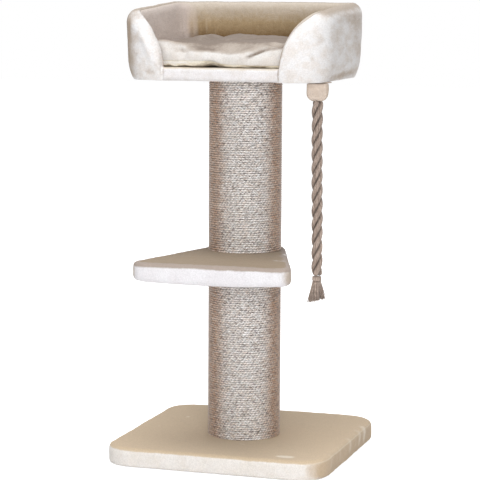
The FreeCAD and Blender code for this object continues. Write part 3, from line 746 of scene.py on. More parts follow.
@dataclass(frozen=True)
class Plush:
    """Short-pile polyester plush over foam, brushed by use in patches.

    Its pile scatters light, so it has no gloss. Where it is brushed the other
    way it shows a deeper colour. Where it is turned over an edge, lies flat on
    top or is drawn round a side, it gets painted shade. It is paler on bare
    spots of wear, folds get painted highlight and creases painted shade. It reads
    the piece's own attributes: how it faces up and aside, its wear and painted light,
    and past a seam, the seam and the depth for painted shade.
    """

    name: str
    face: str
    brushed: str
    # The colours of the sides, the rounded edges and the top are painted shade.
    aside: str
    edge: str
    top_shade: str
    # A pale tint for wear on bare spots and for painted highlight on folds, then the painted shade of
    # creases.
    rubbed: str
    crease_shade: str = "#8d7c6c"
    lining: Lining | None = None
    # lean moves the painted side shade towards one side; the ranges say where each painted shade comes in.
    lean: float = 0.0
    side_shade_range: tuple[float, float] = (0.55, 1.0)
    edge_shade_range: tuple[float, float] = (0.40, 0.60)
    top_shade_range: tuple[float, float] = (0.75, 0.95)
    uneven: float = 0.6
    patch_mm: float = 38.0
    mottle_mm: float = 11.0
    pile_mm: float = 3.0
    patch_share: float = 0.55
    relief_mm: float = 2.0
    sheen: float = 0.1
    drawn: Triple = (1.0, 1.0, 1.0)

    def material(self) -> bpy.types.Material:
        """Make the plush's material.

        Returns:
            The material.
        """
        made, tree = new_material(self.name)
        place = add_node(tree, "TexCoord").outputs["Object"]
        place = add_node(tree, "Mapping", {"Scale": self.drawn}, {"Vector": place})
        noises = []
        for size, roughness in ((self.patch_mm, 0.55), (self.mottle_mm, 0.65), (self.pile_mm, 0.6)):
            noises.append(add_node(tree, "TexNoise",
                                   {"Scale": per_metre(size), "Detail": 3.0, "Roughness": roughness,
                                    "Distortion": 0.2}, {"Vector": place}))
        patches, mottle, pile = noises
        both = add_node(tree, "Math", {"operation": "MULTIPLY_ADD", 1: 0.5}, {0: mottle, 2: patches})
        amount = add_node(tree, "MapRange",
                          {"interpolation_type": "SMOOTHSTEP", "From Min": 0.60, "From Max": 0.95,
                           "To Max": self.patch_share}, {"Value": both})
        colour = add_node(tree, "Mix",
                          {"data_type": "RGBA", 6: hex_colour(self.face), 7: hex_colour(self.brushed)},
                          {0: amount})
        upward, across = self.read_facing(tree, both)
        # Painted shade on the sides, the rounded edges and the top, by how the pile faces.
        colour = tint_where(tree, colour, across, *self.side_shade_range, self.aside)
        colour = tint_where(tree, colour, upward, *self.edge_shade_range, self.edge)
        colour = tint_where(tree, colour, upward, *self.top_shade_range, self.top_shade)
        rubbed = add_node(tree, "Attribute", {"attribute_name": "rubbed"}).outputs["Fac"]
        if self.lining:
            colour = self.sew_lining(tree, colour, mottle)
        # Pale wear on bare spots and painted highlight on folds, then painted shade in creases and
        # patches.
        broken = add_node(tree, "Math", {"operation": "MULTIPLY_ADD", 1: 0.4, 2: 0.3}, {0: mottle})
        uneven_wear_and_light = add_node(tree, "Math", {"operation": "MULTIPLY"}, {0: rubbed, 1: broken})
        colour = tint_where(tree, colour, uneven_wear_and_light, 0.08, 0.36, self.rubbed)
        colour = tint_where(tree, colour, uneven_wear_and_light, -0.04, -0.50, self.crease_shade)
        depth = add_node(tree, "MapRange",
                         {"From Min": 0.3, "From Max": 0.7, "To Min": 0.84, "To Max": 1.02},
                         {"Value": pile})
        colour = add_node(tree, "VectorMath", {"operation": "SCALE"}, {0: colour, "Scale": depth})
        coarse = add_node(tree, "Bump", {"Strength": 0.5, "Distance": self.relief_mm * MM},
                          {"Height": mottle})
        fine = add_node(tree, "Bump", {"Strength": 0.6, "Distance": 1.0 * MM},
                        {"Height": pile, "Normal": coarse})
        shader = add_node(tree, "BsdfPrincipled",
                          {"Roughness": 0.95, "Specular IOR Level": 0.1, "Sheen Weight": self.sheen,
                           "Sheen Roughness": 0.6},
                          {"Base Color": colour, "Normal": fine})
        finish_surface(tree, shader)
        return made

    def read_facing(self, tree: Tree, both: Source) -> tuple[Source, Source]:
        """Read how far the pile faces up and aside, made uneven by the patches.

        Args:
            tree: The material's node tree.
            both: The patches with their mottling, about 0.75 on average.

        Returns:
            Outputs for up, -1 to 1, and for aside, 0 to 1.
        """
        grain = add_node(tree, "Math",
                         {"operation": "MULTIPLY_ADD", 1: self.uneven, 2: -0.75 * self.uneven}, {0: both})
        up = add_node(tree, "Attribute", {"attribute_name": "upward"}).outputs["Fac"]
        upward = add_node(tree, "Math", {"operation": "ADD"}, {0: up, 1: grain})
        turned = add_node(tree, "Attribute", {"attribute_name": "aside"}).outputs["Fac"]
        leant = add_node(tree, "Math", {"operation": "ADD", 1: self.lean}, {0: turned})
        size = add_node(tree, "Math", {"operation": "ABSOLUTE"}, {0: leant})
        across = add_node(tree, "Math", {"operation": "ADD"}, {0: size, 1: grain})
        return upward, across

    def sew_lining(self, tree: Tree, outer: Source, mottle: Source) -> Source:
        """Add the lining's colour past the seam, with its painted shade and light, and the seam's dark
        line.

        Args:
            tree: The material's node tree.
            outer: Colour outside the seam.
            mottle: The plush's mottling.

        Returns:
            The colour's output.
        """
        lining = self.lining
        beyond = add_node(tree, "Attribute", {"attribute_name": "seam"}).outputs["Fac"]
        sunk = add_node(tree, "Attribute", {"attribute_name": "sunk"}).outputs["Fac"]
        turned = add_node(tree, "Attribute", {"attribute_name": "aside"}).outputs["Fac"]
        size = add_node(tree, "Math", {"operation": "ABSOLUTE"}, {0: turned})
        uneven = add_node(tree, "Math", {"operation": "MULTIPLY_ADD", 1: 0.2}, {0: mottle, 2: sunk})
        # Painted shade: the lining darkens from its rim down to its foot.
        stops = ((0.14, lining.rim), (0.44, lining.middle), (0.78, lining.foot))
        inner = add_node(tree, "ValToRGB", {"stops": stops}, {"Fac": uneven})
        # Painted light where the lining faces aside.
        inner = tint_where(tree, inner, size, 0.35, 0.9, lining.aside, 0.9)
        past = add_node(tree, "MapRange", {"From Min": -0.4 * MM, "From Max": 0.4 * MM},
                        {"Value": beyond})
        colour = add_node(tree, "Mix", {"data_type": "RGBA"}, {0: past, 6: outer, 7: inner})
        away = add_node(tree, "Math", {"operation": "ABSOLUTE"}, {0: beyond})
        return tint_where(tree, colour, away, 1.6 * MM, 0.3 * MM, lining.seam, 0.6)


@dataclass(frozen=True)
class LaidRope:
    """Natural sisal, twisted: stiff dry fibres, pale and dark ones mixed.

    It reads the piece's own UV map, with metres along and turns round. Strands
    and clumps of fibres are drawn coarser than real ones, so that they show.
    The grooves between strands, the valleys between turns and the sides turned
    away from the lit front get painted shade.
    """

    name: str
    pale: str
    middle: str
    dark: str
    strands: int
    lay_mm: float
    hand: Hand
    girth_mm: float
    clump_mm: Triple = (12.0, 12.0, 3.0)
    clump_share: float = 1.0
    fibre_mm: float = 0.8
    fibre_length: float = 14.0
    # Painted shade between the strands, and in the valleys between turns.
    groove_shade: float = 0.6
    valley_shade: float = 0.0
    warm: str = "#ffffff"
    warm_mm: Triple = (30.0, 30.0, 10.0)
    # Colour of the painted shade on the sides turned away from the lit front.
    unworn: str = "#ffffff"
    gloss: float = 0.3
    roughness: float = 0.7
    contrast: float = 1.0

    def material(self) -> bpy.types.Material:
        """Make the rope's material.

        Returns:
            The material.
        """
        made, tree = new_material(self.name)
        uv = add_node(tree, "UVMap", {"uv_map": "along"})
        parts = add_node(tree, "SeparateXYZ", {}, {0: uv})
        along = add_node(tree, "Math",
                         {"operation": "MULTIPLY", 1: -self.hand.value * per_metre(self.lay_mm)},
                         {0: parts.outputs["X"]})
        turned = add_node(tree, "Math", {"operation": "ADD"}, {0: along, 1: parts.outputs["Y"]})
        phase = add_node(tree, "Math", {"operation": "MULTIPLY", 1: math.pi * self.strands}, {0: turned})
        wave = add_node(tree, "Math", {"operation": "SINE"}, {0: phase})
        crown = add_node(tree, "Math", {"operation": "ABSOLUTE"}, {0: wave})
        fibres = self.add_fibres(tree, parts.outputs["X"], turned)
        place = add_node(tree, "TexCoord").outputs["Object"]
        clumps = stretched_noise(tree, place, self.clump_mm, 3.0, 0.75)
        mixed = add_node(tree, "Math", {"operation": "MULTIPLY_ADD", 1: self.clump_share},
                         {0: clumps, 2: fibres})
        middle = 0.5 + 0.5 * self.clump_share
        half = 0.34 / self.contrast
        level = add_node(tree, "MapRange", {"From Min": middle - half, "From Max": middle + half},
                         {"Value": mixed})
        stops = ((0.12, self.dark), (0.45, self.middle), (0.80, self.pale))
        colour = add_node(tree, "ValToRGB", {"stops": stops}, {"Fac": level})
        warmth = stretched_noise(tree, place, self.warm_mm, 4.0, 0.7)
        warmed = add_node(tree, "MapRange", {"From Min": 0.40, "From Max": 0.65, "To Max": 0.8},
                          {"Value": warmth})
        colour = add_node(tree, "Mix",
                          {"data_type": "RGBA", "blend_type": "MULTIPLY", 7: hex_colour(self.warm)},
                          {0: warmed, 6: colour})
        # Painted shade: the sides turned away from the lit front are darker and warmer.
        away = add_node(tree, "Attribute", {"attribute_name": "unworn"}).outputs["Fac"]
        broken = add_node(tree, "Math", {"operation": "MULTIPLY_ADD", 1: 1.6, 2: 0.1}, {0: warmth})
        side_shading = add_node(tree, "Math", {"operation": "MULTIPLY", "use_clamp": True},
                          {0: away, 1: broken})
        colour = add_node(tree, "Mix",
                          {"data_type": "RGBA", "blend_type": "MULTIPLY", 7: hex_colour(self.unworn)},
                          {0: side_shading, 6: colour})
        # Painted shade in the grooves between strands.
        shade = add_node(tree, "MapRange",
                         {"From Min": 0.0, "From Max": 0.75, "To Min": 1 - self.groove_shade, "To Max": 1.0},
                         {"Value": crown})
        if self.valley_shade:
            shade = self.deepen_valleys(tree, shade)
        colour = add_node(tree, "VectorMath", {"operation": "SCALE"}, {0: colour, "Scale": shade})
        strands = add_node(tree, "Bump", {"Strength": 0.8, "Distance": 0.8 * MM}, {"Height": crown})
        fine = add_node(tree, "Bump", {"Strength": 0.7, "Distance": 0.4 * MM},
                        {"Height": fibres, "Normal": strands})
        shader = add_node(tree, "BsdfPrincipled",
                          {"Roughness": self.roughness, "Specular IOR Level": self.gloss,
                           "Sheen Weight": 0.1}, {"Base Color": colour, "Normal": fine})
        finish_surface(tree, shader)
        return made

    def add_fibres(self, tree: Tree, along: Source, turned: Source) -> Source:
        """Noise drawn out along the twisted fibres, with no seam round the rope.

        Args:
            tree: The material's node tree.
            along: Metres along the rope.
            turned: Turns round the rope, with the lay taken off.

        Returns:
            The noise.
        """
        angle = add_node(tree, "Math", {"operation": "MULTIPLY", 1: math.tau}, {0: turned})
        radius = self.girth_mm * MM / math.tau
        sides = []
        for wave in ("COSINE", "SINE"):
            turn = add_node(tree, "Math", {"operation": wave}, {0: angle})
            sides.append(add_node(tree, "Math", {"operation": "MULTIPLY", 1: radius}, {0: turn}))
        laid = add_node(tree, "CombineXYZ", {}, {"X": along, "Y": sides[0], "Z": sides[1]})
        across = per_metre(self.fibre_mm)
        drawn = add_node(tree, "VectorMath",
                         {"operation": "MULTIPLY", 1: (across / self.fibre_length, across, across)},
                         {0: laid})
        return add_node(tree, "TexNoise", {"Scale": 1.0, "Detail": 3.0, "Roughness": 0.7},
                        {"Vector": drawn})

    def deepen_valleys(self, tree: Tree, shade: Source) -> Source:
        """Paint shade into the valleys where one turn or strand lies against the next.

        Args:
            tree: The material's node tree.
            shade: Brightness so far.

        Returns:
            The new brightness.
        """
        crest = add_node(tree, "Attribute", {"attribute_name": "crest"}).outputs["Fac"]
        valley_shade = add_node(tree, "MapRange",
                          {"interpolation_type": "SMOOTHSTEP", "From Min": 0.1, "From Max": 0.8,
                           "To Min": 1 - self.valley_shade, "To Max": 1.0}, {"Value": crest})
        return add_node(tree, "Math", {"operation": "MULTIPLY"}, {0: shade, 1: valley_shade})


@dataclass(frozen=True)
class PressedBoard:
    """Chipboard, plywood, hardboard or card: dull, in flecks of wood or pulp."""

    name: str
    pale: str
    dark: str
    fleck_mm: Triple
    roughness: float = 0.8
    relief_mm: float = 0.3

    def material(self) -> bpy.types.Material:
        """Make the board's material.

        Returns:
            The material.
        """
        made, tree = new_material(self.name)
        place = add_node(tree, "TexCoord").outputs["Object"]
        flecks = stretched_noise(tree, place, self.fleck_mm, 4.0, 0.7)
        tones = add_node(tree, "ValToRGB", {"stops": ((0.35, self.dark), (0.65, self.pale))},
                         {"Fac": flecks})
        bump = add_node(tree, "Bump", {"Strength": 0.5, "Distance": self.relief_mm * MM},
                        {"Height": flecks})
        shader = add_node(tree, "BsdfPrincipled",
                          {"Roughness": self.roughness, "Specular IOR Level": 0.3},
                          {"Base Color": tones, "Normal": bump})
        finish_surface(tree, shader)
        return made


@dataclass(frozen=True)
class ZincPlate:
    """Bright zinc on steel: a bluish metal with a fine cloudy spangle."""

    name: str = "zinc_plated_steel"
    bright: str = "#c9ccce"
    dull: str = "#a4a8aa"
    spangle_mm: float = 3.0

    def material(self) -> bpy.types.Material:
        """Make the plated steel's material.

        Returns:
            The material.
        """
        made, tree = new_material(self.name)
        place = add_node(tree, "TexCoord").outputs["Object"]
        clouds = add_node(tree, "TexNoise",
                          {"Scale": per_metre(self.spangle_mm), "Detail": 3.0}, {"Vector": place})
        colour = add_node(tree, "Mix",
                          {"data_type": "RGBA", 6: hex_colour(self.bright), 7: hex_colour(self.dull)},
                          {0: clouds})
        gloss = add_node(tree, "MapRange", {"To Min": 0.28, "To Max": 0.45}, {"Value": clouds})
        shader = add_node(tree, "BsdfPrincipled", {"Metallic": 1.0},
                          {"Base Color": colour, "Roughness": gloss})
        finish_surface(tree, shader)
        return made


# Finishes


# Long sisal fibres wound tight: pale broken ends over dark roots, with dry gleams, and painted shade
# in the valleys between turns and on the sides away from the lit front.
POST_SISAL = LaidRope(
    "sisal_winding", "#ffffff", "#f2edea", "#5c4f47", strands=3, lay_mm=27.0, hand=Hand.RIGHT,
    girth_mm=20.4, clump_mm=(10.0, 10.0, 4.0), valley_shade=0.5, warm="#f8e8db", warm_mm=(15.0, 15.0, 6.0),
    unworn="#cba584", gloss=1.0, roughness=0.34, contrast=1.75)
# Thick hawser of greyish sisal yarns: long streaks that follow the twist, and painted shade between the
# strands.
TOY_SISAL = LaidRope(
    "sisal_toy_rope", "#c9b7aa", "#9d8a7e", "#605047", strands=9, lay_mm=100.0, hand=Hand.LEFT,
    girth_mm=44.8, clump_mm=(5.0, 5.0, 20.0), clump_share=0.5, fibre_mm=1.6, fibre_length=18.0,
    groove_shade=0.3, valley_shade=0.5)
# Loose sisal fibres with no twist left: thin, fairly even and softer to the eye than the rope.
FRAYED_SISAL = LaidRope(
    "sisal_fibres", "#c8b6aa", "#9f8d81", "#796860", strands=1, lay_mm=400.0, hand=Hand.LEFT,
    girth_mm=6.3, clump_mm=(3.0, 3.0, 20.0), groove_shade=0.0)
# Plush folded double over webbing: small close mottling, as on a narrow sewn strip, with a little painted
# shade on its sides, edges and top.
STRAP_PLUSH = Plush(
    "strap_plush", "#d8c8ba", "#c9b7a6", "#cbb9a8", "#d4c3b4", "#d4c3b4", "#d8c8ba", mottle_mm=6.0,
    patch_mm=16.0)
# Plush stretched over the base: wide pale patches, with warm tan painted shade on its top, its edges and
# its right side.
BASE_PLUSH = Plush(
    "base_plush", "#ece7e2", "#dfd5c9", "#cab499", "#d8c8b0", "#d2bda1", "#e8dccb", patch_mm=60.0,
    lean=0.3, side_shade_range=(0.62, 1.18), edge_shade_range=(0.38, 0.48), top_shade_range=(0.50, 0.62),
    patch_share=0.4, uneven=0.3)
# The same plush on the step: nearly white in front, with greyish brown painted shade on its top, edges and
# sides.
STEP_PLUSH = Plush(
    "step_plush", "#e9e7ea", "#dbd6d9", "#bfb0a2", "#a99b91", "#9a8872", "#e4dfdd", patch_mm=50.0,
    side_shade_range=(0.45, 0.95), edge_shade_range=(0.24, 0.40), top_shade_range=(0.88, 0.975), patch_share=0.4,
    uneven=0.25)
# Plush round the bed's board, hardly touched: almost even, with a little warmer painted shade on its
# sides, edges and top.
BED_PLUSH = Plush(
    "bed_plush", "#e8e5e6", "#d8d0ca", "#d6ccc4", "#ddd5cb", "#c9bba6", "#e8e5e6", patch_mm=40.0)
# Plush over thick foam, lined with the same pile: brushed in level streaks outside, with painted shade on
# its sides, edges and creases, and painted brown in the deep of the bed, as shade where little light
# comes.
WALL_PLUSH = Plush(
    "wall_plush", "#eceaea", "#ddd3ca", "#ac9985", "#bbad9f", "#b5a697", "#dccfbf", crease_shade="#ae9a86",
    lining=Lining("#cfc4b6", "#ab9574", "#6a4b24", "#ded1ca", "#85725c"), lean=-0.25,
    side_shade_range=(0.58, 1.2), edge_shade_range=(0.25, 0.75), top_shade_range=(1.2, 1.4), uneven=0.3,
    patch_mm=30.0, relief_mm=3.0, drawn=(1.0, 0.4, 1.0))
# Plush above and pale fleece below its seam: flattened on top, with painted shade there, in its creases
# and under it; clean where it bulges.
CUSHION_PLUSH = Plush(
    "cushion_plush", "#dfdcd9", "#d3c8be", "#d3c8bb", "#b9ada2", "#8d7f74", "#eae7e4", crease_shade="#7d6f63",
    lining=Lining("#ffffff", "#fffaec", "#a09482", "#f6f0da", "#ece4c8"), side_shade_range=(0.7, 1.1),
    edge_shade_range=(0.45, 0.78), top_shade_range=(0.74, 0.96), uneven=0.3, patch_mm=55.0, patch_share=0.4)


# Sub-assemblies


@dataclass
class CoveredBoard:
    """A board under plush: a flat slab with round corners and soft edges."""

    name: str
    node: str
    slot: str
    finish: Plush
    corner_front: float
    corner_back: float
    top_round: float
    foot_round: float
    back_narrowing: float = 1.0
    turn: float = 0.0
    turn_centre: Vector = field(default_factory=Vector)
    low: Vector | None = None
    high: Vector | None = None
    folds: tuple[Fold, ...] = ()
    waves: Waves = ((90 * MM, 1.1 * MM), (28 * MM, 0.7 * MM), (9 * MM, 0.4 * MM))
    belly: float = 0.0
    pile_turn: float = 5 * MM
    corner_steps: int = 8
    edge_steps: int = 5
    mesh_size: float = 5 * MM
    smooth_rounds: int = 6
    belly_depth_share: float = 0.25

    def build(self) -> Piece:
        """Make the covered board, dress it and put it on the stand.

        Returns:
            The finished piece.
        """
        low, high = (self.low, self.high) if self.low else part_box(self.node)
        middle = (low + high) / 2
        board = add_block(self.name, low, high)
        if self.back_narrowing != 1.0:
            select_edges(board, lambda a, b: a.y > middle.y and b.y > middle.y and a.x * b.x > 0)
            bpy.ops.transform.resize(value=(self.back_narrowing, 1, 1), center_override=middle)
            bpy.ops.object.mode_set(mode="OBJECT")
        slant = math.atan2((1 - self.back_narrowing) * (high.x - low.x) / 2, high.y - low.y)
        for is_back, radius, half_angle in ((False, self.corner_front, (QUARTER - slant) / 2),
                                            (True, self.corner_back, (QUARTER + slant) / 2)):
            select_edges(board, lambda a, b: (a - b).xy.length < MM and (a.y > middle.y) == is_back)
            bevel_selected(radius / math.tan(half_angle), self.corner_steps)
        for level, radius in ((high.z, self.top_round), (low.z, self.foot_round)):
            select_edges(board, lambda a, b: abs(a.z - level) < MM and abs(b.z - level) < MM)
            bevel_selected(radius, self.edge_steps)
        make_active(board)
        if self.turn:
            board.rotation_euler.z = self.turn
            spin = Matrix.Rotation(self.turn, 4, "Z")
            board.location = self.turn_centre - spin @ self.turn_centre
            settle(board)
        soften(board, self.mesh_size, self.smooth_rounds)
        if self.belly:
            self.sag(board, low, high)
        ripple(board, self.waves, shift=low.z)
        mark_points(board, "rubbed", press_folds(board, self.folds))
        mark_facing(board, self.pile_turn)
        dress(board, self.finish)
        ride_on(board, "stand", self.slot, self.node)
        return board

    def sag(self, board: Piece, low: Vector, high: Vector) -> None:
        """Let the cover hang a little below the board in the middle of its front.

        Args:
            board: The covered board.
            low: Its lowest corner.
            high: Its highest corner.
        """
        points = points_of(board)
        across = (points[:, 0] - low.x) / (high.x - low.x)
        along = np.clip((points[:, 1] - low.y) / (high.y - low.y), 0, 1)
        below = 1 - np.clip((points[:, 2] - low.z) / (high.z - low.z), 0, 1)
        hang = np.sin(np.clip(across, 0, 1) * math.pi) * bell(along, self.belly_depth_share)
        points[:, 2] -= self.belly * hang * below
        place_points(board, points)


@dataclass
class Step:
    """Step between the posts: a tapered board under plush, turned a little aside."""

    finish: Plush
    axis: Vector
    front_half: float = 225 * MM
    back_half: float = 82.5 * MM
    in_front: float = 356 * MM
    behind: float = 118 * MM
    turn: float = math.radians(1.9)
    corner_front: float = 39 * MM
    corner_back: float = 70 * MM
    top_round: float = 11 * MM
    foot_round: float = 12 * MM
    belly: float = 7 * MM
    gather_inset: float = 42 * MM
    gather_reach: float = 38 * MM
    gather_width: float = 3.5 * MM
    gather_height: float = 2.2 * MM
    gather_highlight: float = 0.5
    gather_angles: tuple[int, ...] = (-78, -62, -46, -30, -14, 2, 18)
    turned_aside: float = 11 * MM
    turned_back: float = 7 * MM
    pile_turn: float = 10 * MM
    mesh_size: float = 3 * MM
    folds: tuple[Fold, ...] = ()

    def build(self) -> Piece:
        """Cover the step's board, with the plush gathered round its front corners.

        Returns:
            The finished piece.
        """
        low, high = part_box("shelf_cover")
        board = CoveredBoard(
            "step_pad", "shelf_cover", "plush", self.finish, self.corner_front, self.corner_back,
            self.top_round, self.foot_round, back_narrowing=self.back_half / self.front_half,
            turn=self.turn, turn_centre=Vector((self.axis.x, self.axis.y, 0)),
            low=Vector((self.axis.x - self.front_half, self.axis.y - self.in_front, low.z)),
            high=Vector((self.axis.x + self.front_half, self.axis.y + self.behind, high.z)),
            folds=self.gathers(low.z, high.z) + self.folds, belly=self.belly,
            pile_turn=self.pile_turn, mesh_size=self.mesh_size)
        return board.build()

    def gathers(self, foot: float, top: float) -> tuple[Fold, ...]:
        """Small upright folds side by side round both front corners, each with a painted highlight.

        Args:
            foot: Height of the step's underside.
            top: Height of its top.

        Returns:
            The folds.
        """
        folds = []
        for side in (-1, 1):
            for degrees in self.gather_angles:
                angle = math.radians(degrees)
                out = self.front_half - self.gather_inset + self.gather_reach * math.cos(angle)
                x = self.axis.x + side * out + self.turned_aside
                y = (self.axis.y - self.in_front + self.corner_front + self.gather_reach * math.sin(angle)
                     + side * self.turned_back)
                folds.append(Fold((x, y, top), (x, y, foot), self.gather_width, self.gather_height,
                                  self.gather_highlight))
        return tuple(folds)


@dataclass
class Winding:
    """Sisal rope laid turn on turn round one post, as one long closed coil."""

    name: str
    node: str
    finish: LaidRope
    rope_radius: float = 3.25 * MM
    pitch: float = 6.2 * MM
    sides: int = 8
    steps_per_turn: int = 72
    # Painted shade on the post: the way its lit front faces, and where and how fast the shade comes in
    # away from it.
    lit_side: float = math.radians(18)
    shaded_side_from: float = 0.05
    shaded_side_over: float = 0.40

    def build(self) -> Piece:
        """Wind the rope round the post and put it on the stand.

        Returns:
            The finished piece.
        """
        low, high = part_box(self.node)
        axis = Vector(((low.x + high.x) / 2, (low.y + high.y) / 2, 0))
        reach = (high.x - low.x) / 2 - self.rope_radius
        start = low.z - self.rope_radius
        turns = math.ceil((high.z + self.rope_radius - start) / self.pitch)
        bpy.ops.mesh.primitive_circle_add(vertices=self.sides, radius=self.rope_radius,
                                          location=(reach, 0, 0), rotation=(QUARTER, 0, 0))
        coil = bpy.context.object
        coil.name = self.name
        settle(coil)
        apply_modifier(coil, "SCREW", angle=math.tau, screw_offset=self.pitch, iterations=turns,
                       steps=self.steps_per_turn, render_steps=self.steps_per_turn)
        coil.location = axis + Vector((0, 0, start))
        settle(coil)
        self.cut_flat(low.z, -1)
        self.cut_flat(high.z, 1)
        turn_outwards(coil)
        self.map_along(coil, axis, start, reach)
        # How far out on its turn each point lies, for the painted shade in the valleys.
        out = np.linalg.norm(points_of(coil)[:, :2] - np.array((axis.x, axis.y)), axis=1) - reach
        mark_points(coil, "crest", out / self.rope_radius)
        self.mark_shaded_side(coil, axis)
        dress(coil, self.finish)
        ride_on(coil, "stand", "sisal", self.node)
        return coil

    def mark_shaded_side(self, coil: Piece, axis: Vector) -> None:
        """Keep how far each point turns away from the lit front, for painted shade on the post's sides.

        Args:
            coil: The wound rope.
            axis: Place of the post's axis.
        """
        out = points_of(coil)[:, :2] - np.array((axis.x, axis.y))
        front = np.array((math.sin(self.lit_side), -math.cos(self.lit_side)))
        turned = 1 - out @ front / np.linalg.norm(out, axis=1)
        share = np.clip((turned - self.shaded_side_from) / self.shaded_side_over, 0, 1)
        mark_points(coil, "unworn", share * share * (3 - 2 * share))

    def cut_flat(self, level: float, side: int) -> None:
        """Cut the coil off level where a board lies against it.

        Args:
            level: Height of the cut.
            side: 1 to take away what is above, -1 for what is below.
        """
        bpy.ops.object.mode_set(mode="EDIT")
        bpy.ops.mesh.select_all(action="SELECT")
        bpy.ops.mesh.bisect(plane_co=(0, 0, level), plane_no=(0, 0, side), use_fill=True, clear_outer=True)
        bpy.ops.object.mode_set(mode="OBJECT")

    def map_along(self, coil: Piece, axis: Vector, start: float, reach: float) -> None:
        """Give the coil a UV map with metres along the rope and turns round it.

        Args:
            coil: The wound rope.
            axis: Place of the post's axis.
            start: Height at which the rope's centre line starts.
            reach: Radius of the centre line.
        """
        mesh = coil.data
        points = points_of(coil) - np.array((axis.x, axis.y, start))
        corners = np.empty(len(mesh.loops), int)
        mesh.loops.foreach_get("vertex_index", corners)
        faces = np.repeat(np.arange(len(mesh.polygons)),
                          [polygon.loop_total for polygon in mesh.polygons])
        centres = read_rows(mesh.polygons, "center") - np.array((axis.x, axis.y, start))
        turn_share = (np.arctan2(centres[:, 1], centres[:, 0]) / math.tau) % 1.0
        turn = np.round(centres[:, 2] / self.pitch - turn_share) + turn_share
        corner_points = points[corners]
        corner_share = np.arctan2(corner_points[:, 1], corner_points[:, 0]) / math.tau
        corner_turn = corner_share + np.round(turn[faces] - corner_share)
        out = np.hypot(corner_points[:, 0], corner_points[:, 1]) - reach
        above = corner_points[:, 2] - corner_turn * self.pitch
        face_out = np.hypot(centres[:, 0], centres[:, 1]) - reach
        face_above = centres[:, 2] - turn * self.pitch
        face_round = np.arctan2(face_above, face_out) / math.tau
        corner_round = np.arctan2(above, out) / math.tau
        corner_round += np.round(face_round[faces] - corner_round)
        along = corner_turn * math.tau * reach
        map_uv(coil, np.stack([along, corner_round], axis=1))


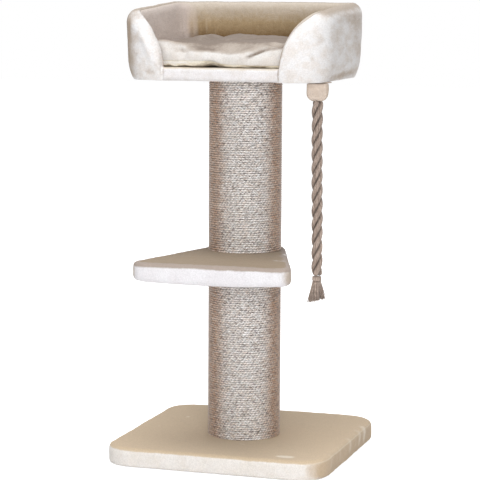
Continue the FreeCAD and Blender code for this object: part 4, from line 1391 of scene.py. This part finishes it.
@dataclass
class BedWall:
    """Padded wall round three sides of the bed, cut down in a curve in front."""

    finish: Plush
    centre: Vector
    floor: float
    foot: float
    half_width: float = 260 * MM
    half_depth: float = 220 * MM
    corner: float = 80 * MM
    outside: float = 24 * MM
    inside: float = 20 * MM
    taper: float = 4 * MM
    thin_end_share: float = 0.25
    full_above: float = 80 * MM
    rim_back: float = 170 * MM
    rim_front: float = 153 * MM
    rim_power: float = 0.84
    front_lead: float = 18 * MM
    foot_round: float = 48 * MM
    foot_cut_share: float = 0.55
    foot_start: float = 4 * MM
    rim_round_outside: float = 34 * MM
    rim_round_inside: float = 26 * MM
    crest: float = -5 * MM
    round_limit_share: float = 0.42
    inner_limit_share: float = 0.8
    padding_swell: float = 1.0 * MM
    end_round: float = 5 * MM
    end_round_shares: tuple[float, ...] = (0.2, 0.4, 0.6, 0.8, 1.0)
    end_face_shares: tuple[float, ...] = (0.7, 0.4, 0.1)
    clear: float = 0.3 * MM
    round_rows: int = 9
    outside_rows: int = 13
    inside_rows: int = 14
    foot_rows: int = 3
    first_angle: float = math.radians(0.5)
    front_steps: int = 34
    side_steps: int = 40
    corner_steps: int = 22
    back_steps: int = 52
    seam_depth: float = 1.6 * MM
    seam_width: float = 3.5 * MM
    seam_reach: float = 12 * MM
    turned_over: Waves = (
        (0.0, 12 * MM), (0.085, 12 * MM), (0.145, -3 * MM), (0.6, -3 * MM), (1.0, -12 * MM))
    most_over_share: float = 0.35
    full_rim_share: float = 0.9
    pile_turn: float = 12 * MM
    waves: Waves = ((75 * MM, 1.5 * MM), (30 * MM, 0.7 * MM))
    fine_waves: Waves = ((11 * MM, 0.45 * MM),)
    folds: tuple[Fold, ...] = ()

    def stations(self) -> list[tuple[np.ndarray, np.ndarray, float]]:
        """Places round the wall, from its right front end by the back to the left.

        Returns:
            Floor edge point, outward normal and rim height of each place.
        """
        straight_x = self.half_width - self.corner
        straight_y = self.half_depth - self.corner
        outer_corner = self.corner + self.outside
        fall = self.front_lead + outer_corner * QUARTER
        right = []
        for i in range(self.front_steps + 1):
            angle = self.first_angle + (QUARTER - self.first_angle) * i / self.front_steps
            run = fall * (1 - math.cos(angle)) - self.front_lead
            turn = max(run, 0.0) / outer_corner
            point = (straight_x + min(run, 0.0) + self.corner * math.sin(turn),
                     -straight_y - self.corner * math.cos(turn))
            rim = self.rim_front * math.sin(angle) ** self.rim_power
            right.append((point, (math.sin(turn), -math.cos(turn)), rim))
        for i in range(1, self.side_steps):
            share = i / self.side_steps
            rim = self.rim_front + share * (self.rim_back - self.rim_front)
            right.append(((self.half_width, straight_y * (2 * share - 1)), (1.0, 0.0), rim))
        for i in range(self.corner_steps + 1):
            turn = QUARTER * i / self.corner_steps
            normal = (math.cos(turn), math.sin(turn))
            point = (straight_x + self.corner * normal[0], straight_y + self.corner * normal[1])
            right.append((point, normal, self.rim_back))
        back = []
        for i in range(1, self.back_steps):
            across = straight_x * (1 - 2 * i / self.back_steps)
            back.append(((across, self.half_depth), (0.0, 1.0), self.rim_back))
        left = [((-x, y), (-nx, ny), rim) for (x, y), (nx, ny), rim in reversed(right)]
        middle = np.array((self.centre.x, self.centre.y))
        return [(np.array(point) + middle, np.array(normal), rim)
                for point, normal, rim in right + back + left]

    def section(self, rim: float) -> np.ndarray:
        """Section of the wall as rows of outward distance and height.

        Args:
            rim: Height of the rim above the bed's floor.

        Returns:
            A closed loop of points, from the foot up the outside and down inside.
        """
        top = self.floor + rim
        limit = self.round_limit_share * (top - self.foot)
        foot_round = min(self.foot_round, limit)
        rim_round = min(self.rim_round_outside, limit)
        inner_round = min(self.rim_round_inside, self.inner_limit_share * rim)
        fullness = math.sqrt(min(rim / self.full_above, 1.0))
        thinning = self.thin_end_share + (1 - self.thin_end_share) * fullness
        outer, inside, crest = (self.outside * thinning, self.inside * thinning, self.crest * thinning)
        low_outer = outer - self.taper * thinning
        rows = [(self.clear, self.foot)]
        for i in range(self.round_rows + 1):
            angle = QUARTER * i / self.round_rows
            cut = self.foot_cut_share * i / self.round_rows
            reach = cut + (1 - self.foot_cut_share) * math.sin(angle)
            rise = cut + (1 - self.foot_cut_share) * (1 - math.cos(angle))
            rows.append((self.foot_start + (low_outer - self.foot_start) * reach,
                         self.foot + foot_round * rise))
        low, high = self.foot + foot_round, top - rim_round
        for i in range(1, self.outside_rows):
            share = i / self.outside_rows
            swell = self.padding_swell * math.sin(math.pi * share)
            rows.append((low_outer + (outer - low_outer) * share + swell, low + (high - low) * share))
        for i in range(self.round_rows):
            angle = QUARTER * i / self.round_rows
            rows.append((crest + (outer - crest) * math.cos(angle), high + rim_round * math.sin(angle)))
        for i in range(self.round_rows + 1):
            angle = QUARTER * i / self.round_rows
            drop = inner_round * (1 - math.cos(angle))
            rows.append((crest - (inside + crest) * math.sin(angle), top - drop))
        low_inside = self.floor + self.clear
        for i in range(1, self.inside_rows + 1):
            share = i / self.inside_rows
            swell = self.padding_swell * math.sin(math.pi * share)
            rows.append((-inside - swell, top - inner_round + (low_inside - top + inner_round) * share))
        for i in range(1, self.foot_rows + 1):
            rows.append((-inside + (inside + self.clear) * i / self.foot_rows, low_inside))
        for i in range(1, self.foot_rows + 1):
            rows.append((self.clear, low_inside + (self.foot - low_inside) * i / (self.foot_rows + 1)))
        return np.array(rows)

    def build(self) -> Piece:
        """Loft the wall, soften it, sew its seam and put it on the stand.

        Returns:
            The finished piece.
        """
        places = self.stations()
        rings, marks = [], []
        for number, (point, normal, rim) in enumerate(places):
            section = self.section(rim)
            rings.append(self.ring(point, normal, section))
            marks.append(self.marks_of(section, rim, number / (len(places) - 1)))
        for at_start in (True, False):
            for ring, mark in self.close_end(places, at_start):
                spot = 0 if at_start else len(rings)
                rings.insert(spot, ring)
                marks.insert(spot, mark)
        count = len(rings[0])
        points = np.concatenate(rings)
        faces = []
        for i in range(len(rings) - 1):
            for j in range(count):
                a, b = i * count + j, i * count + (j + 1) % count
                faces.append((a, b, b + count, a + count))
        faces.append(tuple(reversed(range(count))))
        faces.append(tuple((len(rings) - 1) * count + j for j in range(count)))
        wall = mesh_piece("bed_wall", points, faces)
        for name, values in zip(("seam", "sunk", "full_rim"), np.concatenate(marks, axis=1)):
            mark_points(wall, name, values)
        turn_outwards(wall)
        self.sink_seam(wall)
        ripple(wall, self.waves, shift=3.0)
        mark_points(wall, "rubbed", press_folds(wall, self.folds))
        apply_modifier(wall, "SUBSURF", levels=1, render_levels=1)
        ripple(wall, self.fine_waves, shift=5.0)
        mark_facing(wall, self.pile_turn)
        self.keep_front_pale(wall)
        dress(wall, self.finish)
        ride_on(wall, "stand", "wall_plush", "bed_wall_cover")
        return wall

    def close_end(self, places: list[tuple[np.ndarray, np.ndarray, float]],
                  at_start: bool) -> list[tuple[np.ndarray, np.ndarray]]:
        """Draw the wall in to a round end.

        Args:
            places: The wall's places, as stations gives them.
            at_start: True for the right end, where the places start.

        Returns:
            The end's rings, outwards, each with its marks.
        """
        (point, normal, rim), (inner, _, _) = places[:2] if at_start else places[:-3:-1]
        direction = (point - inner) / np.linalg.norm(point - inner)
        section = self.section(rim)
        middle = (section.max(axis=0) + section.min(axis=0)) / 2
        size = section.max(axis=0) - section.min(axis=0)
        mark = self.marks_of(section, rim, 0.0 if at_start else 1.0)
        rings = []
        for share in self.end_round_shares:
            inset = self.end_round * (1 - math.cos(QUARTER * share))
            out = self.end_round * math.sin(QUARTER * share)
            drawn = middle + (section - middle) * (1 - 2 * inset / size)
            rings.append((self.ring(point + direction * out, normal, drawn), mark))
        for share in self.end_face_shares:
            drawn = middle + (section - middle) * (1 - 2 * self.end_round / size) * share
            rings.append((self.ring(point + direction * self.end_round, normal, drawn), mark))
        return rings

    def ring(self, point: np.ndarray, normal: np.ndarray, section: np.ndarray) -> np.ndarray:
        """Place a section at a point of the wall."""
        flat = point + np.outer(section[:, 0], normal)
        return np.column_stack([flat, section[:, 1]])

    def sink_seam(self, wall: Piece) -> None:
        """Draw the plush in along the seam line."""
        lift_points(wall, -self.seam_depth * bell(read_marks(wall, "seam"), self.seam_width))

    def marks_of(self, section: np.ndarray, rim: float, way: float) -> np.ndarray:
        """How each point of a section lies to the seam, to the rim and to the front.

        On the right front the lining is turned over the rim and sewn down outside
        it, and elsewhere the outer plush reaches over the rim to the inside.

        Args:
            section: Points of the section.
            rim: Height of its rim above the bed's floor.
            way: How far round the wall it lies, from the right end, 0 to 1.

        Returns:
            Three rows: distance past the seam on the lining's side, depth in the
            bed from 0 at the rim to 1 at the floor, which sets the lining's painted
            shade, and 1 where the rim is full.
        """
        along = lengths_along(section)
        crest = int(np.argmax(section[:, 1]))
        over = float(np.interp(way, *zip(*self.turned_over)))
        over = math.copysign(min(abs(over), self.most_over_share * rim), over)
        seam = np.clip(along - (along[crest] - over), -self.seam_reach, self.seam_reach)
        sunk = np.clip((self.floor + rim - section[:, 1]) / self.rim_back, 0, 1)
        full_share = (rim / self.rim_front - self.full_rim_share) / (1 - self.full_rim_share)
        full = np.full(len(section), min(max(full_share, 0.0), 1.0))
        return np.stack([seam, sunk, full])

    def keep_front_pale(self, wall: Piece) -> None:
        """Count the pile as turned up only where the rim has its full height, so the painted top and edge
        shade stays off the low front.
        """
        mark_points(wall, "upward", read_marks(wall, "upward") * read_marks(wall, "full_rim"))


@dataclass
class Cushion:
    """Loose fibre-filled cushion: plush above, pale fleece below, well used."""

    finish: Plush
    corner: float = 62 * MM
    draw: float = 7 * MM
    edge_round: float = 30 * MM
    seam_low: float = 6 * MM
    seam_high: float = 16 * MM
    lifted_left_of: float = -15 * MM
    lift_blend: float = 60 * MM
    wander: float = 1.5 * MM
    flat_share: float = 0.72
    foot_round: float = 10 * MM
    foot_power: float = 1.5
    # Painted shade on the fleece: growing down its side below the seam, and where it faces down.
    side_depth: float = 60 * MM
    seam_side_shade: float = 0.25
    under_shade: float = 0.7
    wedge_at: float = -30 * MM
    wedge_half: float = 20 * MM
    wedge_depth: float = 40 * MM
    wedge_height: float = 30 * MM
    wedge_lift: float = 8 * MM
    edge_density: float = 0.7
    corner_power: int = 3
    corner_pull: float = 1.1
    front_share: float = 0.6
    top_facing: float = 0.5
    under_facing: tuple[float, float] = (0.5, 0.9)
    pile_turn: float = 9 * MM
    filling: Inflation = Inflation(pressure=2.0, looseness=0.05, frames=14, cap=7 * MM)
    wrinkles: Waves = ((110 * MM, 3.5 * MM), (40 * MM, 1.8 * MM))
    waves: Waves = ((45 * MM, 1.6 * MM), (14 * MM, 0.5 * MM))
    wander_size: float = 60 * MM
    cells_across: int = 96
    cells_deep: int = 80
    top_folds: tuple[Fold, ...] = ()
    front_folds: tuple[Fold, ...] = ()
    lumps: tuple[tuple[float, float, float, float], ...] = ()

    def build(self) -> Piece:
        """Make the cushion, blow it up as cloth, crease it and lay it in the bed.

        Returns:
            The finished piece.
        """
        low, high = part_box("cushion")
        middle = (low + high) / 2
        half = (high - low) / 2
        cushion = self.sew_shell(low, high)
        inflate(cushion, self.filling)
        crumple(cushion, self.wrinkles, shift=8.0)
        self.lift_wedge(cushion, low)
        in_front = points_of(cushion)[:, 1] < middle.y - self.front_share * half.y
        shade = press_folds(cushion, self.front_folds, in_front, (1.0, 0.0, 1.0))
        on_top = normals_of(cushion)[:, 2] > self.top_facing
        shade += press_folds(cushion, self.top_folds, on_top, (1.0, 1.0, 0.0))
        mark_points(cushion, "rubbed", shade)
        ripple(cushion, self.waves, shift=8.0)
        points = points_of(cushion)
        points[:, 2] = np.maximum(points[:, 2], low.z)
        place_points(cushion, points)
        apply_modifier(cushion, "SUBSURF", levels=1, render_levels=1)
        self.mark_fleece(cushion, low.z, middle.x)
        mark_facing(cushion, self.pile_turn)
        dress(cushion, self.finish)
        ride_on(cushion, "loose_cushion", "cushion_plush", "cushion")
        return cushion

    def sew_shell(self, low: Vector, high: Vector) -> Piece:
        """Make the closed shell of the cushion, from a grid above and one below.

        Args:
            low: Lowest corner of its plain solid.
            high: Highest corner.

        Returns:
            The shell.
        """
        middle = (low + high) / 2
        half = (high - low) / 2
        u, v = np.meshgrid(self.spread(self.cells_across), self.spread(self.cells_deep))
        flat, edge_gap = self.plan(u, v, half)
        top_z, foot_z = self.heights(flat, edge_gap, high.z - low.z)
        x, y = flat[..., 0] + middle.x, flat[..., 1] + middle.y
        upper = np.stack([x, y, low.z + top_z], axis=-1).reshape(-1, 3)
        lower = np.stack([x, y, low.z + foot_z], axis=-1).reshape(-1, 3)
        columns = self.cells_across + 1
        count = len(upper)
        faces = []
        for i in range(self.cells_deep):
            for j in range(self.cells_across):
                a = i * columns + j
                faces.append((a, a + 1, a + 1 + columns, a + columns))
                faces.append((count + a, count + a + columns, count + a + 1 + columns, count + a + 1))
        cushion = mesh_piece("cushion_pad", np.concatenate([upper, lower]), faces)
        turn_outwards(cushion)
        return cushion

    def mark_fleece(self, cushion: Piece, floor: float, middle: float) -> None:
        """Keep how far each point lies below the edge seam, and the painted shade of the fleece on its
        side and underneath.

        Args:
            cushion: The cushion.
            floor: Height of the bed's floor.
            middle: Place of the cushion's middle across the bed.
        """
        points = points_of(cushion)
        wander = self.wander * soft_noise(points, self.wander_size, 1.0)
        below = floor + (self.seam_level(points[:, 0] - middle) + wander) - points[:, 2]
        mark_points(cushion, "seam", below)
        start, end = self.under_facing
        under = np.clip((-normals_of(cushion)[:, 2] - start) / (end - start), 0, 1)
        side = np.clip(below / self.side_depth, 0, self.seam_side_shade)
        mark_points(cushion, "sunk", side + self.under_shade * under)

    def spread(self, cells: int) -> np.ndarray:
        """Grid lines from -1 to 1 that lie closer together near the edges."""
        even = np.linspace(-1, 1, cells + 1)
        return (1 - self.edge_density) * even + self.edge_density * np.sin(even * QUARTER)

    def lift_wedge(self, cushion: Piece, low: Vector) -> None:
        """Lift the lower front edge off the board in one place.

        Args:
            cushion: The cushion.
            low: Lowest corner of its plain solid.
        """
        points = points_of(cushion)
        aside = (points[:, 0] - self.wedge_at) / self.wedge_half
        back = (points[:, 1] - low.y) / self.wedge_depth
        above = np.clip((points[:, 2] - low.z) / self.wedge_height, 0, 1)
        points[:, 2] = np.maximum(points[:, 2], low.z)
        points[:, 2] += self.wedge_lift * np.exp(-aside ** 2 - back ** 2) * (1 - above)
        place_points(cushion, points)

    def plan(self, u: np.ndarray, v: np.ndarray, half: Vector) -> tuple[np.ndarray, np.ndarray]:
        """Lay a square grid into the cushion's plan.

        Args:
            u: Places across, from -1 to 1.
            v: Places back, from -1 to 1.
            half: Half sizes of the plan.

        Returns:
            Plan places, and how far each lies inside the edge.
        """
        squared = 1 - (1 - np.abs(u)) * (1 - np.abs(v))
        shrink = self.corner / 2 * (np.abs(u) * np.abs(v)) ** self.corner_power * squared
        x = u * half.x - np.sign(u) * shrink * self.corner_pull
        y = v * half.y - np.sign(v) * shrink * self.corner_pull
        x -= np.sign(u) * self.draw * np.abs(u) * (1 - v ** 2)
        y -= np.sign(v) * self.draw * np.abs(v) * (1 - u ** 2)
        gap_x = half.x * (1 - np.abs(u))
        gap_y = half.y * (1 - np.abs(v))
        gap = np.minimum(gap_x, gap_y)
        return np.stack([x, y], axis=-1), gap

    def heights(self, flat: np.ndarray, gap: np.ndarray, thick: float) -> tuple[np.ndarray, np.ndarray]:
        """Heights of the top and the underside over the bed's floor.

        Args:
            flat: Plan places about the cushion's middle.
            gap: How far each lies inside the edge.
            thick: Thickness of the plain cushion.

        Returns:
            Height of the top and height of the underside.
        """
        seam = self.seam_level(flat[..., 0])
        rise = np.sqrt(1 - (1 - np.clip(gap / self.edge_round, 0, 1)) ** 2)
        full = np.full(gap.shape, self.flat_share * thick)
        for x, y, spread, lift in self.lumps:
            away = np.hypot(flat[..., 0] - x, flat[..., 1] - y)
            full += lift * bell(away, spread)
        top = seam + (full - seam) * rise
        return top, seam * (1 - np.clip(gap / self.foot_round, 0, 1)) ** self.foot_power

    def seam_level(self, across: np.ndarray) -> np.ndarray:
        """Height of the edge seam over the bed's floor: it lifts off on the left."""
        share = np.clip((self.lifted_left_of - across) / self.lift_blend + 0.5, 0, 1)
        return self.seam_low + (self.seam_high - self.seam_low) * share * share * (3 - 2 * share)


@dataclass
class ToyRope:
    """Short thick three-strand rope, bound with twine and frayed at its end."""

    rope_finish: LaidRope
    tassel_finish: LaidRope
    radius: float = 15 * MM
    strands: int = 3
    strand_share: float = 0.475
    strand_sides: int = 14
    lay: float = 112 * MM
    hand: Hand = Hand.RIGHT
    stations: int = 220
    end_inset_share: float = 0.2
    end_pull: float = 0.10
    end_pull_reach: float = 18 * MM
    swell: float = 0.05
    swell_size: float = 40 * MM
    spline_steps: int = 24
    twine_radius: float = 1.15 * MM
    twine_turns: int = 6
    twine_steps: int = 28
    twine_sides: int = 8
    core_shares: tuple[float, ...] = (0.02, 0.5, 0.98)
    fibres: int = 210
    fibre_radius: float = 1.0 * MM
    fibre_sides: int = 4
    fibre_taper: tuple[float, ...] = (1.0, 1.0, 1.0, 0.95, 0.85, 0.7, 0.35)
    fibre_overhang: float = 6 * MM
    neck: float = 10.5 * MM
    slope: float = 6 * MM
    spread_power: float = 1.1
    uneven_reach: float = 0.25
    uneven_drop: float = 3 * MM
    uneven_turn: float = 0.35
    jitter_path: Triple = (0.37, 1.3, 2.7)
    seed: int = 1
    route: tuple[Triple, ...] = (
        (0.245, -0.150, 0.9847), (0.245, -0.150, 0.8197), (0.248, -0.150, 0.6597), (0.248, -0.150, 0.520))

    def centre_line(self) -> np.ndarray:
        """Read the rope's centre line from the spline of its route.

        Returns:
            Points from the rope's top to its end, one row each.
        """
        curve = bpy.data.curves.new("toy_rope_route", "CURVE")
        curve.dimensions = "3D"
        curve.resolution_u = self.spline_steps
        spline = curve.splines.new("NURBS")
        spline.points.add(len(self.route) - 1)
        for point, place in zip(spline.points, self.route):
            point.co = (*place, 1.0)
        spline.order_u = 3
        spline.use_endpoint_u = True
        holder = add_object("toy_rope_route", curve)
        bpy.context.view_layer.update()
        line = bpy.data.meshes.new_from_object(holder)
        points = np.array([tuple(vertex.co) for vertex in line.vertices])
        bpy.data.objects.remove(holder)
        return points

    def build(self) -> None:
        """Make the rope, its binding and its frayed end."""
        line = self.centre_line()
        binding = self.build_binding()
        tassel = self.build_tassel()
        rope = self.build_rope(line)

    def build_rope(self, line: np.ndarray) -> Piece:
        """Twist the strands round the rope's centre line.

        Args:
            line: The centre line, one point a row.

        Returns:
            The rope's strands as one piece.
        """
        total = lengths_along(line)[-1]
        strand = self.radius * self.strand_share
        offset = self.radius - strand
        inset = strand * self.end_inset_share
        spots = np.linspace(inset, total - inset, self.stations)
        middle = read_line(line, spots)
        lines, radii = [], []
        for number in range(self.strands):
            angle = (self.hand.value * math.tau * (total - spots) / self.lay
                     + math.tau * number / self.strands)
            pull = 1 - self.end_pull * bell(spots - total, self.end_pull_reach)
            swell = np.array([noise.noise(Vector((spot / self.swell_size, number, 0))) for spot in spots])
            centres = middle + (offset * pull)[:, None] * np.column_stack(
                [np.cos(angle), np.sin(angle), np.zeros(len(angle))])
            centres, radius = round_tips(centres, strand)
            swell = np.interp(np.linspace(0, 1, len(radius)), np.linspace(0, 1, len(swell)), swell)
            lines.append(centres)
            radii.append(radius * (1 + self.swell * swell))
        rope = tube(lines, radii, self.strand_sides, "toy_rope_strands")
        # How far out from the rope's axis each point lies, for the painted shade between strands.
        points = points_of(rope)
        order = np.argsort(line[:, 2])
        axis_x = np.interp(points[:, 2], line[order, 2], line[order, 0])
        from_axis = np.hypot(points[:, 0] - axis_x, points[:, 1] - self.route[0][1])
        mark_points(rope, "crest", (from_axis - offset) / strand)
        dress(rope, self.rope_finish)
        ride_on(rope, "rope", "toy_rope", "toy_rope")
        return rope

    def build_binding(self) -> Piece:
        """Wind twine round the rope's end, over a core that fills the turns.

        Returns:
            The binding.
        """
        low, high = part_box("toy_rope_binding")
        middle = (low + high) / 2
        reach = (high.x - low.x) / 2 - self.twine_radius
        count = self.twine_turns * self.twine_steps + 1
        angle = np.linspace(0, math.tau * self.twine_turns, count)
        rise = np.linspace(low.z + self.twine_radius, high.z - self.twine_radius, count)
        line = np.column_stack([middle.x + reach * np.cos(angle), middle.y + reach * np.sin(angle), rise])
        points, radii = round_tips(line, self.twine_radius)
        core = np.array([(middle.x, middle.y, low.z + share * (high.z - low.z))
                         for share in self.core_shares])
        core_radii = np.full(len(core), reach)
        binding = tube([points, core], [radii, core_radii], self.twine_sides, "toy_rope_twine")
        dress(binding, self.tassel_finish)
        ride_on(binding, "rope", "twine", "toy_rope_binding")
        return binding

    def build_tassel(self) -> Piece:
        """Spread the frayed fibres below the binding like a brush.

        Returns:
            The frayed end.
        """
        low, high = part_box("toy_rope_tassel")
        middle = (low + high) / 2
        end_reach = (high.x - low.x) / 2 - self.fibre_radius
        longest = high.z - low.z + self.fibre_overhang
        steps = np.linspace(0, 1, len(self.fibre_taper))
        spread = steps ** self.spread_power
        golden_angle = math.pi * (3 - math.sqrt(5))
        stride, aside, above = self.jitter_path
        # Without a seed, noise_vector starts from the clock and frays the end anew in each run
        noise.seed_set(self.seed)
        lines = []
        for number in range(self.fibres):
            turn = number * golden_angle
            place = math.sqrt((number + 0.5) / self.fibres)
            jitter = noise.noise_vector(Vector((number * stride, aside, above)))
            reach = min(end_reach * place * (1 + self.uneven_reach * jitter.x), end_reach)
            drop = longest - self.slope * (1 + place * math.cos(turn)) + self.uneven_drop * jitter.y
            neck, turn_end = self.neck * place * (1 - spread), turn + self.uneven_turn * jitter.z
            x = middle.x + np.cos(turn) * neck + np.cos(turn_end) * reach * spread
            y = middle.y + np.sin(turn) * neck + np.sin(turn_end) * reach * spread
            lines.append(np.column_stack([x, y, high.z - min(drop, longest) * steps]))
        radii = [self.fibre_radius * np.array(self.fibre_taper)] * self.fibres
        tassel = tube(lines, radii, self.fibre_sides, "toy_rope_frayed_end")
        dress(tassel, self.tassel_finish)
        ride_on(tassel, "rope", "toy_rope", "toy_rope_tassel")
        return tassel


@dataclass
class StrapPad:
    """Plush sewn round webbing: the strap that holds the toy rope, or its flat tail."""

    name: str
    node: str
    body: str
    finish: Plush
    rounding: float
    mesh_size: float
    smooth_rounds: int
    drop: float = 0.0
    foot_corner: float = 22 * MM
    corner_steps: int = 8
    edge_steps: int = 5
    back_clear: float = 1 * MM
    pile_turn: float = 3 * MM
    waves: Waves = ((18 * MM, 1.2 * MM), (7 * MM, 0.4 * MM))

    def build(self) -> None:
        """Sew the pad; the one that hangs has a round foot and a flat back."""
        low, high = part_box(self.node)
        low = low - Vector((0, 0, self.drop))
        hangs = self.drop > 0
        pad = add_block(self.name, low, high)
        if hangs:
            select_edges(pad, lambda a, b: abs(a.x - b.x) < MM and abs(a.z - low.z) < MM
                         and abs(b.z - low.z) < MM)
            bevel_selected(self.foot_corner, self.corner_steps)
        select_edges(pad, lambda a, b: abs(a.y - b.y) < MM and (not hangs or min(a.z, b.z) < high.z - MM))
        bevel_selected(self.rounding, self.edge_steps)
        soften(pad, self.mesh_size, self.smooth_rounds)
        if hangs:
            ripple(pad, self.waves, shift=2.0)
            points = points_of(pad)
            points[:, 1] = np.minimum(points[:, 1], high.y - self.back_clear)
            place_points(pad, points)
        mark_facing(pad, self.pile_turn)
        dress(pad, self.finish)
        ride_on(pad, self.body, "strap_plush", self.node)


@dataclass(frozen=True)
class Lamp:
    """Square soft lamp that looks at a point."""

    name: str
    place: Triple
    aim: Triple
    size: float
    power: float

    def build(self) -> None:
        """Hang the lamp and turn it to its point."""
        data = bpy.data.lights.new(self.name, "AREA")
        data.size = self.size
        data.energy = self.power
        place = Vector(self.place)
        turn = (Vector(self.aim) - place).to_track_quat("-Z", "Y").to_matrix().to_4x4()
        add_object(self.name, data).matrix_world = Matrix.Translation(place) @ turn


@dataclass
class Studio:
    """Floor, soft lamps and the camera where the photograph was taken from."""

    eye: Vector = field(default_factory=lambda: Vector((1.6333, -5.1493, 1.2758)))
    look: Vector = field(default_factory=lambda: Vector((-0.30222, 0.94481, -0.12645)))
    roll: float = math.radians(0.309)
    focal_mm: float = 148.47
    sensor_mm: float = 36.0
    sight: float = 60.0
    world_strength: float = 0.43
    lamps: tuple[Lamp, ...] = (Lamp("key", (1.6, -4.43, 1.5), (0.0, 0.0, 0.7), 1.6, 104.0),
                               Lamp("back", (-1.4, 4.6, 2.4), (0.0, 0.0, 0.7), 2.4, 45.0),
                               Lamp("top", (0.3, -1.5, 7.0), (0.0, 0.0, 0.4), 3.6, 270.0))
    floor_size: float = 40.0
    floor_drop: float = 1 * MM
    floor_grey: float = 0.82
    floor_glow: float = 0.72

    def build(self) -> None:
        """Set the camera, the world, the lamps and the floor."""
        self.set_camera()
        self.set_world()
        for lamp in self.lamps:
            lamp.build()
        self.add_floor()
        bpy.context.scene.view_settings.view_transform = "Standard"

    def set_camera(self) -> None:
        """Put the camera at the photograph's viewing angle."""
        data = bpy.data.cameras.new("photo_camera")
        data.sensor_width = self.sensor_mm
        data.lens = self.focal_mm
        data.clip_end = self.sight
        camera = add_object("photo_camera", data)
        forward = self.look.normalized()
        level_right = forward.cross(Vector((0, 0, 1))).normalized()
        level_up = level_right.cross(forward)
        right = level_right * math.cos(self.roll) + level_up * math.sin(self.roll)
        up = level_up * math.cos(self.roll) - level_right * math.sin(self.roll)
        turn = Matrix((right, up, -forward)).transposed()
        camera.matrix_world = Matrix.Translation(self.eye) @ turn.to_4x4()
        bpy.context.scene.camera = camera

    def set_world(self) -> None:
        """Light all round softly, and show white to the camera and to gloss."""
        world = bpy.data.worlds.new("studio")
        world.use_nodes = True
        tree = world.node_tree
        tree.nodes.clear()
        path = add_node(tree, "LightPath")
        seen = add_node(tree, "Math", {"operation": "MAXIMUM"},
                        {0: path.outputs["Is Camera Ray"], 1: path.outputs["Is Glossy Ray"]})
        seen = add_node(tree, "Math", {"operation": "MAXIMUM"},
                        {0: seen, 1: path.outputs["Is Transmission Ray"]})
        strength = add_node(tree, "MapRange",
                            {"To Min": self.world_strength, "To Max": 1.0}, {"Value": seen})
        back = add_node(tree, "Background", {"Color": (1.0, 1.0, 1.0, 1.0)}, {"Strength": strength})
        add_node(tree, "OutputWorld", {}, {"Surface": back})
        bpy.context.scene.world = world

    def add_floor(self) -> None:
        """Lay a wide pale floor that shows white and keeps a soft shadow."""
        bpy.ops.mesh.primitive_plane_add(size=self.floor_size, location=(0, 0, -self.floor_drop))
        floor = bpy.context.object
        floor.name = "studio_floor"
        material, tree = new_material("pale_floor")
        path = add_node(tree, "LightPath")
        seen = add_node(tree, "Math", {"operation": "MULTIPLY", 1: self.floor_glow},
                        {0: path.outputs["Is Camera Ray"]})
        matt = add_node(tree, "BsdfDiffuse", {"Color": (*[self.floor_grey] * 3, 1.0)})
        glow = add_node(tree, "Emission", {"Color": (1.0, 1.0, 1.0, 1.0)}, {"Strength": seen})
        both = add_node(tree, "AddShader", {}, {0: matt, 1: glow})
        finish_surface(tree, both)
        floor.data.materials.append(material)


@dataclass
class HiddenParts:
    """Boards, tubes, plugs and fasteners that keep their own shapes."""

    chipboard: PressedBoard = PressedBoard("chipboard", "#c9a877", "#9a7647", (6.0, 6.0, 2.0))
    plywood: PressedBoard = PressedBoard("birch_plywood", "#dcc298", "#b99563", (30.0, 4.0, 1.4))
    hardboard: PressedBoard = PressedBoard("hardboard", "#7c5a3b", "#5c4029", (2.0, 2.0, 2.0), 0.6, 0.1)
    card: PressedBoard = PressedBoard("wound_cardboard", "#b99a6f", "#9b7d55", (14.0, 14.0, 3.0))
    zinc: ZincPlate = ZincPlate()

    def dress(self) -> None:
        """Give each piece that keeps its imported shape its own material."""
        nodes = {
            self.chipboard: ("base_board", "shelf_board", "bed_board"),
            self.plywood: ("lower_foot_disc", "lower_head_disc", "upper_foot_disc", "upper_head_disc"),
            self.hardboard: ("bed_wall_core",),
            self.card: ("lower_tube", "upper_tube"),
            self.zinc: ("tee_nuts", "base_washer", "base_bolt", "shelf_stud", "bed_washer", "bed_bolt",
                        "bed_wall_screws", "strap_screws"),
        }
        for finish, names in nodes.items():
            material = finish.material()
            for name in names:
                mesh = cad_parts[name].data
                mesh.materials.clear()
                mesh.materials.append(material)
            LOG.info("%s: %s", material.name, ", ".join(names))


def main() -> None:
    """Build the studio and every visible piece, in order."""
    logging.basicConfig(level=logging.INFO, format="%(message)s")
    Studio().build()
    ToyRope(TOY_SISAL, FRAYED_SISAL).build()
    StrapPad("strap_pad", "toy_strap", "strap", STRAP_PLUSH, rounding=11.5 * MM, mesh_size=1.6 * MM,
             smooth_rounds=8, drop=4 * MM).build()
    StrapPad("strap_tail_pad", "strap_tail", "stand", STRAP_PLUSH, rounding=1.1 * MM,
             mesh_size=1.2 * MM, smooth_rounds=4).build()
    CoveredBoard("base_pad", "base_cover", "plush", BASE_PLUSH, corner_front=82 * MM, corner_back=82 * MM,
                 top_round=13 * MM, foot_round=4 * MM, folds=BASE_STREAKS + BASE_WORN,
                 mesh_size=4 * MM).build()
    for place in ("lower", "upper"):
        Winding(f"{place}_post_rope", f"{place}_winding", POST_SISAL).build()
    post_low, post_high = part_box("lower_winding")
    axis = (post_low + post_high) / 2
    Step(STEP_PLUSH, axis, folds=STEP_WORN).build()
    CoveredBoard("bed_board_pad", "bed_board_cover", "plush", BED_PLUSH, corner_front=79 * MM,
                 corner_back=79 * MM, top_round=6 * MM, foot_round=6 * MM, mesh_size=4 * MM).build()
    bed_low, bed_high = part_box("bed_board_cover")
    BedWall(WALL_PLUSH, Vector((axis.x, axis.y, 0)), bed_high.z, bed_low.z, folds=WALL_FOLDS).build()
    Cushion(CUSHION_PLUSH, lumps=CUSHION_LUMPS, top_folds=CUSHION_TOP_FOLDS,
            front_folds=CUSHION_FRONT_FOLDS).build()
    HiddenParts().dress()


if __name__ == "__main__":
    main()
